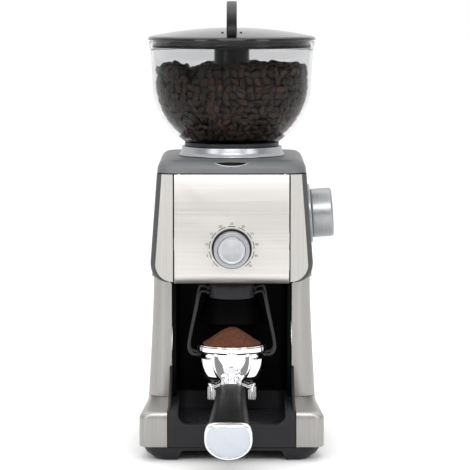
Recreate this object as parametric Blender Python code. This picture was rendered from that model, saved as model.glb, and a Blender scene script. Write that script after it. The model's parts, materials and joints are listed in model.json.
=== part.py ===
"""Burr coffee grinder with a hopper, a front dial, a side grind knob and a portafilter in its cradle.

Metres, +Z up, +X to the machine's right as its user sees it, front towards -Y.
The origin is on the table, below the common axis of hopper and burrs.
"""
import math

import bmesh
import bpy
from mathutils import Matrix, Vector

# ---- clearances and walls
GAP = 0.0003
SHEET = 0.0015
WALL = 0.0025

# ---- base
BASE_HALF_W = 0.084
BASE_FRONT = -0.105
BASE_BACK = 0.095
PLINTH_BOTTOM = 0.0008
PLINTH_TOP = 0.013
PLINTH_HALF_W = BASE_HALF_W - 0.003
PLINTH_TAPER = 0.010
ARCH_HALF_W = BASE_HALF_W - 0.0385
FOOT_TOP = PLINTH_TOP + 0.0325
RUBBER_R = 0.007

# ---- column
BAY_HALF_W = BASE_HALF_W - 0.0265
COLUMN_FRONT = -0.020
COLUMN_HALF_W = BASE_HALF_W - 0.0054
COLUMN_NECK_HALF_W = COLUMN_HALF_W - 0.005
BAY_BACK = 0.021
CORNER_R = 0.017

# ---- heights from the tray up to the head
TRAY_LIP = PLINTH_TOP + 0.021
CUP_ROOM = 0.0315
BASKET_DEPTH = 0.0315
RIM_DROP = 0.0447
NOZZLE_HEIGHT = 0.0168
FILTER_BASE_Z = TRAY_LIP + CUP_ROOM
FILTER_RIM_Z = FILTER_BASE_Z + BASKET_DEPTH
OUTLET_BOTTOM = FILTER_RIM_Z + RIM_DROP
HEAD_BOTTOM = OUTLET_BOTTOM + NOZZLE_HEIGHT

# ---- head
HEAD_TOP = HEAD_BOTTOM + 0.101
HEAD_FRONT = -0.075
HEAD_HALF_W = COLUMN_NECK_HALF_W + 0.001
HEAD_TOP_HALF_W = HEAD_HALF_W - 0.0061
PANEL_HALF_W = HEAD_TOP_HALF_W - 0.016
SHOULDER_Z = HEAD_BOTTOM + 0.0135
COVER_TOP = HEAD_TOP + 0.0125

# ---- hopper and lid
COLLAR_R = 0.0471
COLLAR_TOP = COVER_TOP + 0.009
HOPPER_R = 0.0752
HOPPER_BASE_R = COLLAR_R - 0.003
HOPPER_BASE_Z = COLLAR_TOP + 0.004
HOPPER_BEND_Z = HOPPER_BASE_Z + 0.055
HOPPER_TOP = HOPPER_BEND_Z + 0.039
HOPPER_WALL = 0.0025
BAND_R = HOPPER_R + 0.002
BAND_HEIGHT = 0.0065
LID_R = BAND_R + 0.0013
LID_DOME = 0.0084
HANDLE_RISE = 0.0370
HANDLE_WIDTH = 0.0094
SPINDLE_R = 0.0165
THROAT_R = COLLAR_R - 0.0141
BEAN_LEVEL = HOPPER_TOP - 0.022

# ---- dials
DIAL_Z = HEAD_BOTTOM + 0.0328
DIAL_R = 0.0163
BUTTON_R = DIAL_R - 0.0038
BUTTON_TRAVEL = 0.0015
KNOB_R = 0.02285
KNOB_Z = HEAD_BOTTOM + 0.0585
KNOB_LENGTH = 0.0198

# ---- grinding works
CHAMBER_R = 0.036
CHAMBER_FLOOR = HEAD_BOTTOM + 0.0311
CHAMBER_TOP = CHAMBER_FLOOR + 0.0346
SHAFT_R = 0.004
BORE_R = SHAFT_R + 0.0003
BEARING_R = SHAFT_R + 0.004
PLATE_Z = HEAD_BOTTOM + 0.0018
PLATE_T = 0.003
GEAR_WIDTH = 0.007
LOW_GEARS = (PLATE_Z + 0.0077, PLATE_Z + 0.0077 + GEAR_WIDTH)
HIGH_GEARS = (LOW_GEARS[1] + 0.002, LOW_GEARS[1] + 0.002 + GEAR_WIDTH)
GEAR_MODULE = 0.0012
BURR_TEETH, IDLER_LOW_TEETH = 24, 20
IDLER_HIGH_TEETH, MOTOR_TEETH = 30, 12
RING_TEETH, PINION_TEETH = 36, 8
RING_PITCH_R = CHAMBER_R + 0.005
BURR_RIDGES = 10
MOTOR_R = 0.0257
MOTOR_LENGTH = 0.082

# ---- outlet and portafilter
OUTLET_R = 0.0207
CHUTE_R = OUTLET_R - 0.0057
CHUTE_BORE = CHUTE_R - 0.002
OUTLET_Y = -(GEAR_MODULE * (BURR_TEETH / 2 + 1) + CHUTE_R + 0.0014)
FILTER_R = 0.0272
FILTER_RIM_R = FILTER_R + 0.005
FILTER_BODY_R = FILTER_RIM_R - 0.0015
RIM_LEDGE = 0.0061
WIRE_SLOT = 0.0043
WIRE_R = 0.0015
HANDLE_SLOPE = math.radians(15.4)
HANDLE_YAW = math.radians(-1.2)
GRIP_START, GRIP_END = 0.037, 0.134

# ---- tray
TRAY_FLOOR = PLINTH_TOP + 0.0165
TRAY_SIDE = PLINTH_TOP + 0.033
TRAY_BACK = BAY_BACK - 0.004


# ================================================================ helpers
def finish_mesh(mesh, material):
    work = bmesh.new()
    work.from_mesh(mesh)
    bmesh.ops.recalc_face_normals(work, faces=work.faces)
    work.to_mesh(mesh)
    work.free()
    mesh.shade_smooth()
    mesh.set_sharp_from_angle(angle=math.radians(32))
    mesh.materials.append(material)


def solid(name, points, faces, material):
    mesh = bpy.data.meshes.new(name)
    mesh.from_pydata([tuple(p) for p in points], [], faces)
    finish_mesh(mesh, material)
    body = bpy.data.objects.new(name, mesh)
    bpy.context.scene.collection.objects.link(body)
    return body


def finish(name, colour, roughness, metallic=0.0, alpha=1.0):
    material = bpy.data.materials.new(name)
    material.use_nodes = True
    shader = material.node_tree.nodes["Principled BSDF"]
    shader.inputs["Base Color"].default_value = (*colour, 1.0)
    shader.inputs["Roughness"].default_value = roughness
    shader.inputs["Metallic"].default_value = metallic
    shader.inputs["Alpha"].default_value = alpha
    return material


def loft(name, rings, material):
    """Closed solid through rings of equal count."""
    n = len(rings[0])
    points = [p for ring in rings for p in ring]
    faces = [list(range(n)), [len(points) - n + i for i in range(n)]]
    for level in range(len(rings) - 1):
        a, b = level * n, (level + 1) * n
        faces += [[a + i, a + (i + 1) % n, b + (i + 1) % n, b + i] for i in range(n)]
    return solid(name, points, faces, material)


def tube_loft(name, outer, inner, material):
    """Closed ring-shaped solid between two stacks of rings of equal count."""
    n, levels = len(outer[0]), len(outer)
    points = [p for ring in outer for p in ring] + [p for ring in inner for p in ring]
    shift = n * levels
    faces = []
    for level in range(levels - 1):
        a, b = level * n, (level + 1) * n
        for i in range(n):
            j = (i + 1) % n
            faces.append([a + i, a + j, b + j, b + i])
            faces.append([shift + a + i, shift + b + i, shift + b + j, shift + a + j])
    for a in (0, (levels - 1) * n):
        for i in range(n):
            j = (i + 1) % n
            faces.append([a + i, a + j, shift + a + j, shift + a + i])
    return solid(name, points, faces, material)


def prism(name, outline, low, high, material, axis="Z"):
    """Outline in the plane across the axis, pulled from low to high along it."""
    place = {
        "Z": lambda u, v, w: (u, v, w),
        "Y": lambda u, v, w: (u, w, v),
        "X": lambda u, v, w: (w, u, v),
    }[axis]
    return loft(name, [[place(u, v, w) for u, v in outline] for w in (low, high)], material)


def turn(name, profile, material, segments=24, at=(0, 0, 0), axis=None):
    """Closed profile of (radius, height) turned about Z, then Z laid along the axis."""
    points, rows = [], []
    for radius, height in profile:
        if radius < 1e-7:
            rows.append([len(points)] * segments)
            points.append((0, 0, height))
            continue
        rows.append([len(points) + i for i in range(segments)])
        for i in range(segments):
            angle = 2 * math.pi * i / segments
            points.append((radius * math.cos(angle), radius * math.sin(angle), height))
    faces = []
    for low, high in zip(rows, rows[1:] + rows[:1]):
        for i in range(segments):
            j = (i + 1) % segments
            face = list(dict.fromkeys([low[i], low[j], high[j], high[i]]))
            if len(face) > 2:
                faces.append(face)
    body = solid(name, points, faces, material)
    body.location = at
    if axis is not None:
        body.rotation_mode = "QUATERNION"
        body.rotation_quaternion = Vector((0, 0, 1)).rotation_difference(Vector(axis))
    return body


def boolean(body, tool, operation, solver="EXACT"):
    change = body.modifiers.new(tool.name, "BOOLEAN")
    change.operation = operation
    change.solver = solver
    change.object = tool
    tool.hide_render = True
    tool.display_type = "WIRE"


def cut(body, tool):
    boolean(body, tool, "DIFFERENCE")


def join(body, tool, solver="EXACT"):
    boolean(body, tool, "UNION", solver)


def rod(name, radius, low, high, material, at=(0, 0, 0), axis=None, segments=24):
    profile = [(0, high), (radius, high), (radius, low), (0, low)]
    return turn(name, profile, material, segments, at, axis)


def block(name, low, high, material):
    (x0, y0, z0), (x1, y1, z1) = low, high
    return prism(name, [(x0, y0), (x1, y0), (x1, y1), (x0, y1)], z0, z1, material)


def arc(cx, cy, rx, ry, start, end, steps):
    turn_by = math.radians(end - start) / steps
    first = math.radians(start)
    return [
        (cx + rx * math.cos(first + turn_by * i), cy + ry * math.sin(first + turn_by * i))
        for i in range(steps + 1)
    ]


def rounded(half_w, front, back, radius, steps=4):
    """Rounded rectangle across X, from front to back."""
    x, low, high = half_w - radius, front + radius, back - radius
    return (
        arc(x, low, radius, radius, -90, 0, steps)
        + arc(x, high, radius, radius, 0, 90, steps)
        + arc(-x, high, radius, radius, 90, 180, steps)
        + arc(-x, low, radius, radius, 180, 270, steps)
    )


def thicken(path, wall):
    """Open path made a closed outline, its wall laid to the left of its direction."""
    inner = []
    for i, (x, y) in enumerate(path):
        before, after = path[max(i - 1, 0)], path[min(i + 1, len(path) - 1)]
        normals = []
        for p, q in ((before, (x, y)), ((x, y), after)):
            dx, dy = q[0] - p[0], q[1] - p[1]
            length = math.hypot(dx, dy)
            if length > 1e-9:
                normals.append((-dy / length, dx / length))
        nx = sum(n[0] for n in normals)
        ny = sum(n[1] for n in normals)
        dot = normals[0][0] * normals[-1][0] + normals[0][1] * normals[-1][1]
        scale = wall / (1 + dot) if len(normals) == 2 else wall
        inner.append((x + nx * scale, y + ny * scale))
    return path + inner[::-1]


def mirrored(outline, side):
    return [(side * x, y) for x, y in outline]


def at_height(outline, z):
    return [(x, y, z) for x, y in outline]


def between(table, z):
    """Value at z, read along straight lines through the table's (z, value) pairs."""
    for (z0, v0), (z1, v1) in zip(table, table[1:]):
        if z <= z1:
            return v0 + (v1 - v0) * (z - z0) / (z1 - z0)
    return table[-1][1]


def gear_outline(teeth, pitch_r, module, phase=0.0):
    """Tooth at the phase angle: flanks lean in, and backlash is a tenth of the pitch."""
    step = 2 * math.pi / teeth
    root, tip = pitch_r - 1.15 * module, pitch_r + 0.8 * module
    outline = []
    for i in range(teeth):
        middle = phase + i * step
        for share, radius in ((-0.30, root), (-0.13, tip), (0.13, tip), (0.30, root)):
            angle = middle + share * step
            outline.append((radius * math.cos(angle), radius * math.sin(angle)))
    return outline


def shifted(outline, dx, dy):
    return [(x + dx, y + dy) for x, y in outline]


def smooth_path(points, per_span):
    """Catmull-Rom curve through the points."""
    padded = [2 * points[0] - points[1]] + points + [2 * points[-1] - points[-2]]
    path = []
    for a, b, c, d in zip(padded, padded[1:], padded[2:], padded[3:]):
        for step in range(per_span):
            t = step / per_span
            path.append(
                0.5 * (2 * b + (c - a) * t + (2 * a - 5 * b + 4 * c - d) * t * t
                       + (3 * b - a - 3 * c + d) * t ** 3)
            )
    return path + [points[-1]]


def wire(name, points, radius, material, per_span=2, sides=6):
    """Round bar along a smooth curve, its rings carried along without twist."""
    path = smooth_path([Vector(p) for p in points], per_span)
    last = len(path) - 1
    tangents = [(path[min(i + 1, last)] - path[max(i - 1, 0)]).normalized() for i in range(last + 1)]
    across = tangents[0].orthogonal().normalized()
    rings = []
    for place, ahead in zip(path, tangents):
        across = (across - ahead * across.dot(ahead)).normalized()
        beside = ahead.cross(across)
        angles = [2 * math.pi * i / sides for i in range(sides)]
        rings.append([place + radius * (math.cos(a) * across + math.sin(a) * beside) for a in angles])
    return loft(name, rings, material)


for old in list(bpy.data.objects):
    bpy.data.objects.remove(old, do_unlink=True)

STEEL = finish("brushed_steel", (0.72, 0.71, 0.69), 0.32, 1.0)
SATIN = finish("satin_metal", (0.50, 0.50, 0.50), 0.40, 1.0)
CHROME = finish("chrome", (0.85, 0.85, 0.86), 0.08, 1.0)
GREY = finish("grey_plastic", (0.17, 0.17, 0.18), 0.45)
DARK = finish("dark_cover", (0.07, 0.07, 0.075), 0.45)
BLACK = finish("black_plastic", (0.022, 0.021, 0.023), 0.42)
GLOSS = finish("gloss_black", (0.008, 0.008, 0.009), 0.12)
CLEAR = finish("clear_plastic", (0.90, 0.91, 0.92), 0.05, 0.0, 0.25)
BEANS = finish("roasted_beans", (0.035, 0.016, 0.010), 0.45)
GROUNDS = finish("ground_coffee", (0.11, 0.035, 0.015), 0.90)
RUBBER = finish("rubber", (0.03, 0.03, 0.03), 0.80)
HARD_STEEL = finish("hardened_steel", (0.42, 0.42, 0.43), 0.35, 1.0)
NYLON = finish("nylon", (0.72, 0.70, 0.62), 0.50)
BOARD = finish("board", (0.03, 0.16, 0.07), 0.50)


# ================================================================ base
def make_plinth():
    def ring(z, inset, wall=0.0):
        half_w = PLINTH_HALF_W - inset - wall
        front = BASE_FRONT + 0.002 + 0.5 * inset + wall
        back = BASE_BACK - 0.002 - 0.5 * inset - wall
        return at_height(rounded(half_w, front, back, 0.014 - wall), z)

    low, high = PLINTH_BOTTOM, PLINTH_TOP
    plinth = loft("base_plinth", [ring(low, PLINTH_TAPER), ring(0.006, 0.004), ring(high, 0)], BLACK)
    pocket = loft("plinth_pocket", [ring(-0.01, PLINTH_TAPER, 0.003), ring(0.0, PLINTH_TAPER, 0.003),
                                    ring(PLINTH_TOP - 0.003, 0.003, 0.003)], BLACK)
    cut(plinth, pocket)
    top, spread = PLINTH_TOP - 0.0035, 0.006
    front = [(-ARCH_HALF_W - spread, -0.01), (ARCH_HALF_W + spread, -0.01),
             (ARCH_HALF_W, top), (-ARCH_HALF_W, top)]
    cut(plinth, prism("plinth_arch", front, BASE_FRONT - 0.01, BASE_FRONT + 0.014, BLACK, "Y"))

    pocket_w = PLINTH_HALF_W - PLINTH_TAPER - 0.003
    cover_front, cover_back = BASE_FRONT + 0.045, BASE_BACK - 0.027
    cover = rounded(pocket_w - 0.001, cover_front, cover_back, 0.010)
    prism("underside_cover", cover, PLINTH_BOTTOM + 0.0008, PLINTH_BOTTOM + 0.0030, BLACK)

    ceiling = PLINTH_TOP - 0.003
    for i, (bx, by) in enumerate(((-0.045, -0.045), (0.045, -0.045), (-0.045, 0.055), (0.045, 0.055))):
        join(plinth, rod("plinth_boss_%d" % i, 0.004, PLINTH_BOTTOM + 0.0030 + GAP, ceiling + 0.001, BLACK,
                         (bx, by, 0), segments=12))
    x = pocket_w - RUBBER_R - 0.0015
    places = {"front_left": (-x, BASE_FRONT + 0.020), "front_right": (x, BASE_FRONT + 0.020),
              "rear_left": (-x + 0.006, BASE_BACK - 0.0175), "rear_right": (x - 0.006, BASE_BACK - 0.0175)}
    for place, (fx, fy) in places.items():
        rod("rubber_foot_" + place, RUBBER_R, 0.0, ceiling - GAP, RUBBER, (fx, fy, 0), segments=20)


def make_foot_cover(side, name):
    inner = BAY_HALF_W + 0.0027

    def ring(z, drop, wall=0.0):
        """drop is how far the rounded top edge has come in from the side wall."""
        front, back = BASE_FRONT + 0.4 * drop + wall, BASE_BACK - 0.4 * drop - wall
        wide, narrow = BASE_HALF_W - drop - wall, COLUMN_HALF_W + 0.001 - 0.6 * drop - wall
        corner = 0.009
        path = [(inner + wall, front)]
        path += arc(wide - corner, front + corner, corner, corner, -90, 0, 5)
        path += [(narrow, COLUMN_FRONT)]
        path += arc(narrow - corner, back - corner, corner, corner, 0, 90, 4)
        path += [(inner + wall, back)]
        return at_height(mirrored(path, side), z)

    low = PLINTH_TOP + GAP
    levels = [(low, 0), (FOOT_TOP - 0.0065, 0), (FOOT_TOP - 0.0035, 0.0008),
              (FOOT_TOP - 0.0017, 0.0022), (FOOT_TOP - 0.0006, 0.0042), (FOOT_TOP, 0.0075)]
    cover = loft(name, [ring(z, drop) for z, drop in levels], STEEL)
    hollow = [(low - 0.01, 0), (FOOT_TOP - 0.0080, 0), (FOOT_TOP - 0.0036, 0.0022),
              (FOOT_TOP - 0.0020, 0.0060)]
    cut(cover, loft(name + "_hollow", [ring(z, drop, SHEET) for z, drop in hollow], STEEL))


LEG_LEVELS = [FOOT_TOP + GAP]
LEG_LEVELS += [FOOT_TOP + share * (SHOULDER_Z - FOOT_TOP) for share in (0.12, 0.29, 0.51, 0.83, 1.0)]


def leg_half_w(z):
    """The legs narrow from the foot to the neck, fastest at the foot."""
    straight_from = LEG_LEVELS[-2]
    share = max(0.0, (straight_from - z) / (straight_from - FOOT_TOP))
    return COLUMN_NECK_HALF_W + (COLUMN_HALF_W - COLUMN_NECK_HALF_W) * share ** 1.3


def make_leg_panel(side, name):
    def ring(z):
        wide = leg_half_w(z)
        path = [(BAY_HALF_W + GAP, COLUMN_FRONT), (BAY_HALF_W + 0.003, COLUMN_FRONT)]
        start = BAY_HALF_W + 0.0045
        path += arc(start, COLUMN_FRONT + 0.020, wide - start, 0.020, -84, 0, 6)
        path += arc(wide - CORNER_R, BASE_BACK - CORNER_R, CORNER_R, CORNER_R, 0, 90, 4)
        return at_height(mirrored(thicken(path, SHEET), side), z)

    loft(name, [ring(z) for z in LEG_LEVELS], STEEL)


def make_back_cover():
    wide, inset = BAY_HALF_W + 0.0022, CORNER_R + 3 * GAP
    low, high = PLINTH_TOP + GAP, HEAD_TOP - GAP
    edge = [(wide, low), (wide, FOOT_TOP - GAP)] + [(leg_half_w(z) - inset, z) for z in LEG_LEVELS]
    edge += [(wall_half_w(SHOULDER_Z) - inset, SHOULDER_Z + GAP), (wall_half_w(high) - inset, high)]
    outline = edge + [(-x, z) for x, z in edge[::-1]]
    cover = prism("back_cover", outline, BASE_BACK - WALL, BASE_BACK, BLACK, "Y")
    for i in range(7):
        z = FOOT_TOP + 0.0245 + 0.010 * i
        slot = arc(0.028, z, 0.0018, 0.0018, -90, 90, 3) + arc(-0.028, z, 0.0018, 0.0018, 90, 270, 3)
        cut(cover, prism("vent_%d" % i, slot, BASE_BACK - 0.01, BASE_BACK + 0.01, BLACK, "Y"))
    gland = [(0, 0.007), (0.0045, 0.007), (0.0060, 0.0055), (0.0085, 0.0025), (0.0095, -0.001), (0, -0.001)]
    gland_at = (0.034, BASE_BACK, PLINTH_TOP + 0.017)
    join(cover, turn("cord_gland", gland, BLACK, 24, gland_at, (0, 1, 0)))
    cut(cover, rod("gland_bore", 0.0033, 0.002, 0.02, BLACK, gland_at, (0, 1, 0), 16))


# ================================================================ bay
def make_bay():
    outer, inner = BAY_HALF_W - GAP, BAY_HALF_W - 0.004
    low, top = PLINTH_TOP + GAP, HEAD_BOTTOM - 0.0006
    front = COLUMN_FRONT + GAP
    liner = prism("bay_liner", [
        (-outer, front), (-inner, front), (-inner, BAY_BACK), (inner, BAY_BACK), (inner, front),
        (outer, front), (outer, BAY_BACK + 0.003), (-outer, BAY_BACK + 0.003)], low, top, BLACK)
    cut(liner, block("liner_tray_room", (-outer - 0.01, front - 0.01, low - 0.01),
                     (outer + 0.01, BAY_BACK - 0.001, TRAY_SIDE + 0.001), BLACK))
    shroud_low, shroud_high = FILTER_RIM_Z + 0.015, top - 0.0006
    shroud = turn("chute_shroud", [(0, shroud_high), (0.020, shroud_high), (0.031, shroud_low),
                                   (0, shroud_low)], BLACK, 24, (0, BAY_BACK - 0.006, 0))
    cut(shroud, block("shroud_back", (-0.05, BAY_BACK + 0.0015, shroud_low - 0.01),
                      (0.05, BAY_BACK + 0.05, top + 0.01), BLACK))
    join(liner, shroud)

    for side, name in ((-1, "bay_side_left"), (1, "bay_side_right")):
        inner_y = COLUMN_FRONT - GAP
        slope = [(BASE_FRONT + 0.0004, low), (inner_y, low), (inner_y, FOOT_TOP + 0.0300)]
        for back, rise in ((0.008, 0.0245), (0.030, 0.0135), (0.060, 0.0045)):
            slope.append((inner_y - back, FOOT_TOP + rise))
        slope += [
            (BASE_FRONT + 0.0004, TRAY_SIDE + 0.0008)]
        x = sorted((side * (BAY_HALF_W - 0.0004), side * (BAY_HALF_W + 0.0023)))
        prism(name, slope, x[0], x[1], BLACK, "X")


def make_tray():
    wide, inner = BAY_HALF_W - 0.0008, BAY_HALF_W - 0.0070
    low = PLINTH_TOP + GAP
    tray = prism("drip_tray", rounded(wide, BASE_FRONT, TRAY_BACK, 0.002, 2), low, TRAY_SIDE, BLACK)
    well = rounded(inner, BASE_FRONT + 0.0045, TRAY_BACK - 0.003, 0.010)
    cut(tray, prism("tray_well", well, TRAY_FLOOR, TRAY_SIDE + 0.01, BLACK))
    r = 0.009
    mouth = [(inner, TRAY_SIDE + 0.03), (-inner, TRAY_SIDE + 0.03)]
    mouth += arc(-inner + r, TRAY_LIP + r, r, r, 180, 270, 5)
    mouth += arc(inner - r, TRAY_LIP + r, r, r, 270, 360, 5)
    cut(tray, prism("tray_mouth", mouth, BASE_FRONT - 0.01, BASE_FRONT + 0.012, BLACK, "Y"))
    under = rounded(wide - 0.003, BASE_FRONT + 0.003, TRAY_BACK - 0.003, 0.004, 2)
    cut(tray, prism("tray_under", under, low - 0.01, TRAY_FLOOR - 0.0025, BLACK))


# ================================================================ head
def front_plane(x):
    """The head's front: flat across the middle panel, then leaning back beside it."""
    return HEAD_FRONT + 0.30 * max(0.0, abs(x) - PANEL_HALF_W)


def wall_half_w(z):
    return between([(SHOULDER_Z, HEAD_HALF_W), (HEAD_TOP, HEAD_TOP_HALF_W)], z)


def make_front_panel():
    low, top, roll = HEAD_BOTTOM, HEAD_TOP - GAP, 0.0095
    path = [(y, z) for y, z in arc(HEAD_FRONT + roll, low + roll, roll, roll, 270, 180, 6)]
    path += [(HEAD_FRONT, top - 0.0015), (HEAD_FRONT + 0.0006, top)]
    outline = thicken(path[::-1], 0.0012)
    panel = prism("front_panel", outline, -PANEL_HALF_W, PANEL_HALF_W, STEEL, "X")
    cut(panel, rod("dial_hole", DIAL_R + 0.0018, -0.01, 0.01, STEEL, (0, HEAD_FRONT, DIAL_Z), (0, -1, 0), 48))


def make_side_strip(side, name):
    inner, top, low = PANEL_HALF_W + 0.0012, HEAD_TOP - GAP, HEAD_BOTTOM + 0.0022
    wide_low, wide_top, r = HEAD_HALF_W - 0.0045, HEAD_TOP_HALF_W - 0.0045, 0.0155
    outline = [(inner, top), (inner, low)] + arc(wide_low - r, low + r, r, r, -85, 0, 6) + [(wide_top, top)]
    rings = [[(side * x, front_plane(x) + depth, z) for x, z in outline] for depth in (0.0, 0.0012)]
    loft(name, rings, STEEL)


def make_head_cover(side, name):
    low, high = HEAD_BOTTOM + 0.0018, HEAD_TOP - GAP
    bulge = HEAD_HALF_W
    chin = [(HEAD_BOTTOM + 0.0040, 0.0065), (HEAD_BOTTOM + 0.0080, 0.0027), (SHOULDER_Z, 0.0005),
            (SHOULDER_Z + 0.0060, 0.0)]
    front_w = [(low, bulge - 0.0125)] + [(z, bulge - tuck) for z, tuck in chin] + [(high, HEAD_TOP_HALF_W)]

    def ring(z):
        w = between(front_w, z)
        rear = wall_half_w(max(z, SHOULDER_Z))
        lean = 0.0015
        path = [(x, front_plane(x) + lean) for x in (PANEL_HALF_W + 0.0010, w - 0.0080)]
        path += arc(w - 0.0045, front_plane(w - 0.0045) + lean + 0.006, 0.0045, 0.0055, -80, 0, 4)
        path += [(rear, COLUMN_FRONT)]
        path += arc(rear - CORNER_R, BASE_BACK - CORNER_R, CORNER_R, CORNER_R, 0, 90, 4)
        return at_height(mirrored(thicken(path, WALL), side), z)

    cover = loft(name, [ring(z) for z in [low] + [z for z, _ in chin] + [KNOB_Z, high]], DARK)
    cut(cover, block(name + "_shoulder", (-0.1, COLUMN_FRONT - GAP, low - 0.01),
                     (0.1, BASE_BACK + 0.02, SHOULDER_Z + GAP), DARK))
    return cover


def make_top_cover():
    def ring(z, inset):
        w = HEAD_TOP_HALF_W - inset
        return at_height(rounded(w, HEAD_FRONT + 0.002 + inset, BASE_BACK - 0.001 - inset, 0.017, 5), z)

    low, top = HEAD_TOP + GAP, COVER_TOP
    levels = [(low, 0), (low + 0.005, 0.0004), (top - 0.004, 0.0020), (top - 0.0014, 0.0050), (top, 0.0100)]
    cover = loft("top_cover", [ring(z, inset) for z, inset in levels], GREY)
    hollow = [(low - 0.01, WALL), (low + 0.005, WALL), (top - WALL, 0.0100)]
    cut(cover, loft("top_cover_hollow", [ring(z, inset) for z, inset in hollow], GREY))
    sleeve = COLLAR_R - 0.0025
    cut(cover, rod("collar_hole", sleeve, top - 0.02, top + 0.02, GREY, segments=30))
    crescent = [(0.0, 0.0045)] + [(0.016 * math.cos(a), 0.0045 * math.sin(a))
                                  for a in (0.6, 0.2, -0.2, -0.6, -1.0)] + [(0.0, -0.0045)]
    notch = turn("crescent_cut", crescent, GREY, 24, (0, HEAD_FRONT + 0.0095, top + 0.0010))
    notch.data.transform(Matrix.Diagonal((1.0, 0.62, 1.0, 1.0)))
    cut(cover, notch)


def make_head_floor():
    back = BAY_BACK + 0.003
    floor = prism("head_floor", rounded(BAY_HALF_W - 0.001, HEAD_FRONT + 0.0100, back, 0.004, 2),
                  HEAD_BOTTOM - 0.0002, PLATE_Z - GAP, BLACK)
    cut(floor, rod("chute_hole", CHUTE_R + GAP, HEAD_BOTTOM - 0.01, PLATE_Z + 0.01, BLACK, (0, OUTLET_Y, 0)))


# ================================================================ hopper and lid
def bowl(radius, depth, floor, steps=5):
    """Points from the floor's height out to the widest, on an ellipse about the machine's axis."""
    first = math.acos((HOPPER_BEND_Z - floor) / depth)
    turns = [first + (math.pi / 2 - first) * i / steps for i in range(steps + 1)]
    return [(radius * math.sin(t), HOPPER_BEND_Z - depth * math.cos(t)) for t in turns]


def hopper_profile():
    """Outer wall from the rim band down to the base, then the bowl's inside back up."""
    low, shelf = HOPPER_BASE_Z, HOPPER_TOP - BAND_HEIGHT
    wall_foot, thin = HOPPER_R - 0.0008, HOPPER_WALL
    depth = (HOPPER_BEND_Z - low) / math.sqrt(1 - (HOPPER_BASE_R / wall_foot) ** 2)
    outer = [(BAND_R, HOPPER_TOP), (BAND_R, shelf), (HOPPER_R + 0.0008, shelf - 0.0015)]
    outer += bowl(wall_foot, depth, low)[::-1]
    inner = [(HOPPER_BASE_R - 0.0100, low)] + bowl(wall_foot - thin, depth - thin, low + thin)
    inner += [(HOPPER_R + 0.0008 - thin, shelf - 0.0015), (BAND_R - thin, shelf), (BAND_R - thin, HOPPER_TOP)]
    return outer, inner


def make_hopper():
    outer, inner = hopper_profile()
    turn("hopper", outer + inner, CLEAR, 32)

    neck_top, collar_bore = HOPPER_BASE_Z - GAP, COLLAR_R - 0.0060
    plug, bottom = collar_bore - 0.0005, COLLAR_TOP - 0.019
    neck = turn("hopper_neck", [
        (HOPPER_BASE_R, neck_top), (HOPPER_BASE_R, COLLAR_TOP + GAP), (plug, COLLAR_TOP + GAP),
        (plug, bottom), (THROAT_R, bottom), (THROAT_R, neck_top)], BLACK, 26)
    web_low, web_high = bottom + 0.005, bottom + 0.008
    for i in range(2):
        start = 90 * (2 * i) + 45
        fan = arc(0, 0, THROAT_R + 0.003, THROAT_R + 0.003, start, start + 90, 8)
        fan += arc(0, 0, SPINDLE_R + 0.0015, SPINDLE_R + 0.0015, start + 90, start, 6)
        join(neck, prism("neck_web_%d" % i, fan, web_low, web_high, BLACK))

    gate_low, gate_high = bottom + 0.001, web_low - GAP
    gate = turn("bean_gate", [(SPINDLE_R, gate_high), (SPINDLE_R, gate_low), (0.006, gate_low),
                              (0.006, gate_high)], BLACK, 24)
    for i in range(2):
        start = 90 * (2 * i) + 45
        fan = arc(0, 0, THROAT_R - 0.0006, THROAT_R - 0.0006, start, start + 90, 8)
        fan += arc(0, 0, SPINDLE_R - 0.002, SPINDLE_R - 0.002, start + 90, start, 6)
        join(gate, prism("gate_wing_%d" % i, fan, gate_low, gate_high, BLACK))

    spindle_low, spindle_top = gate_high + GAP, HOPPER_TOP - 0.0050
    turn("lock_spindle", [
        (0, spindle_top), (SPINDLE_R - 0.0015, spindle_top), (SPINDLE_R, spindle_top - 0.0015),
        (SPINDLE_R, spindle_low), (SPINDLE_R - 0.002, spindle_low), (SPINDLE_R - 0.002, spindle_top - 0.003),
        (0, spindle_top - 0.003)], GLOSS, 24)

    room = 0.0008
    fill = [(r - room, z + room) for r, z in inner[1:8] if z < BEAN_LEVEL]
    wall_r = fill[-1][0]
    hole = SPINDLE_R + 0.0008
    crown = [(wall_r + 0.0006, BEAN_LEVEL - 0.006), (0.050, BEAN_LEVEL - 0.001),
             (0.030, BEAN_LEVEL), (hole, BEAN_LEVEL - 0.002)]
    turn("coffee_beans", ([(hole, fill[0][1])] + fill + crown)[::-1], BEANS, 26)


def dome_z(radius):
    rim_top = HOPPER_TOP + 0.004
    return rim_top + LID_DOME * (1 - (radius / LID_R) ** 2)


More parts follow.
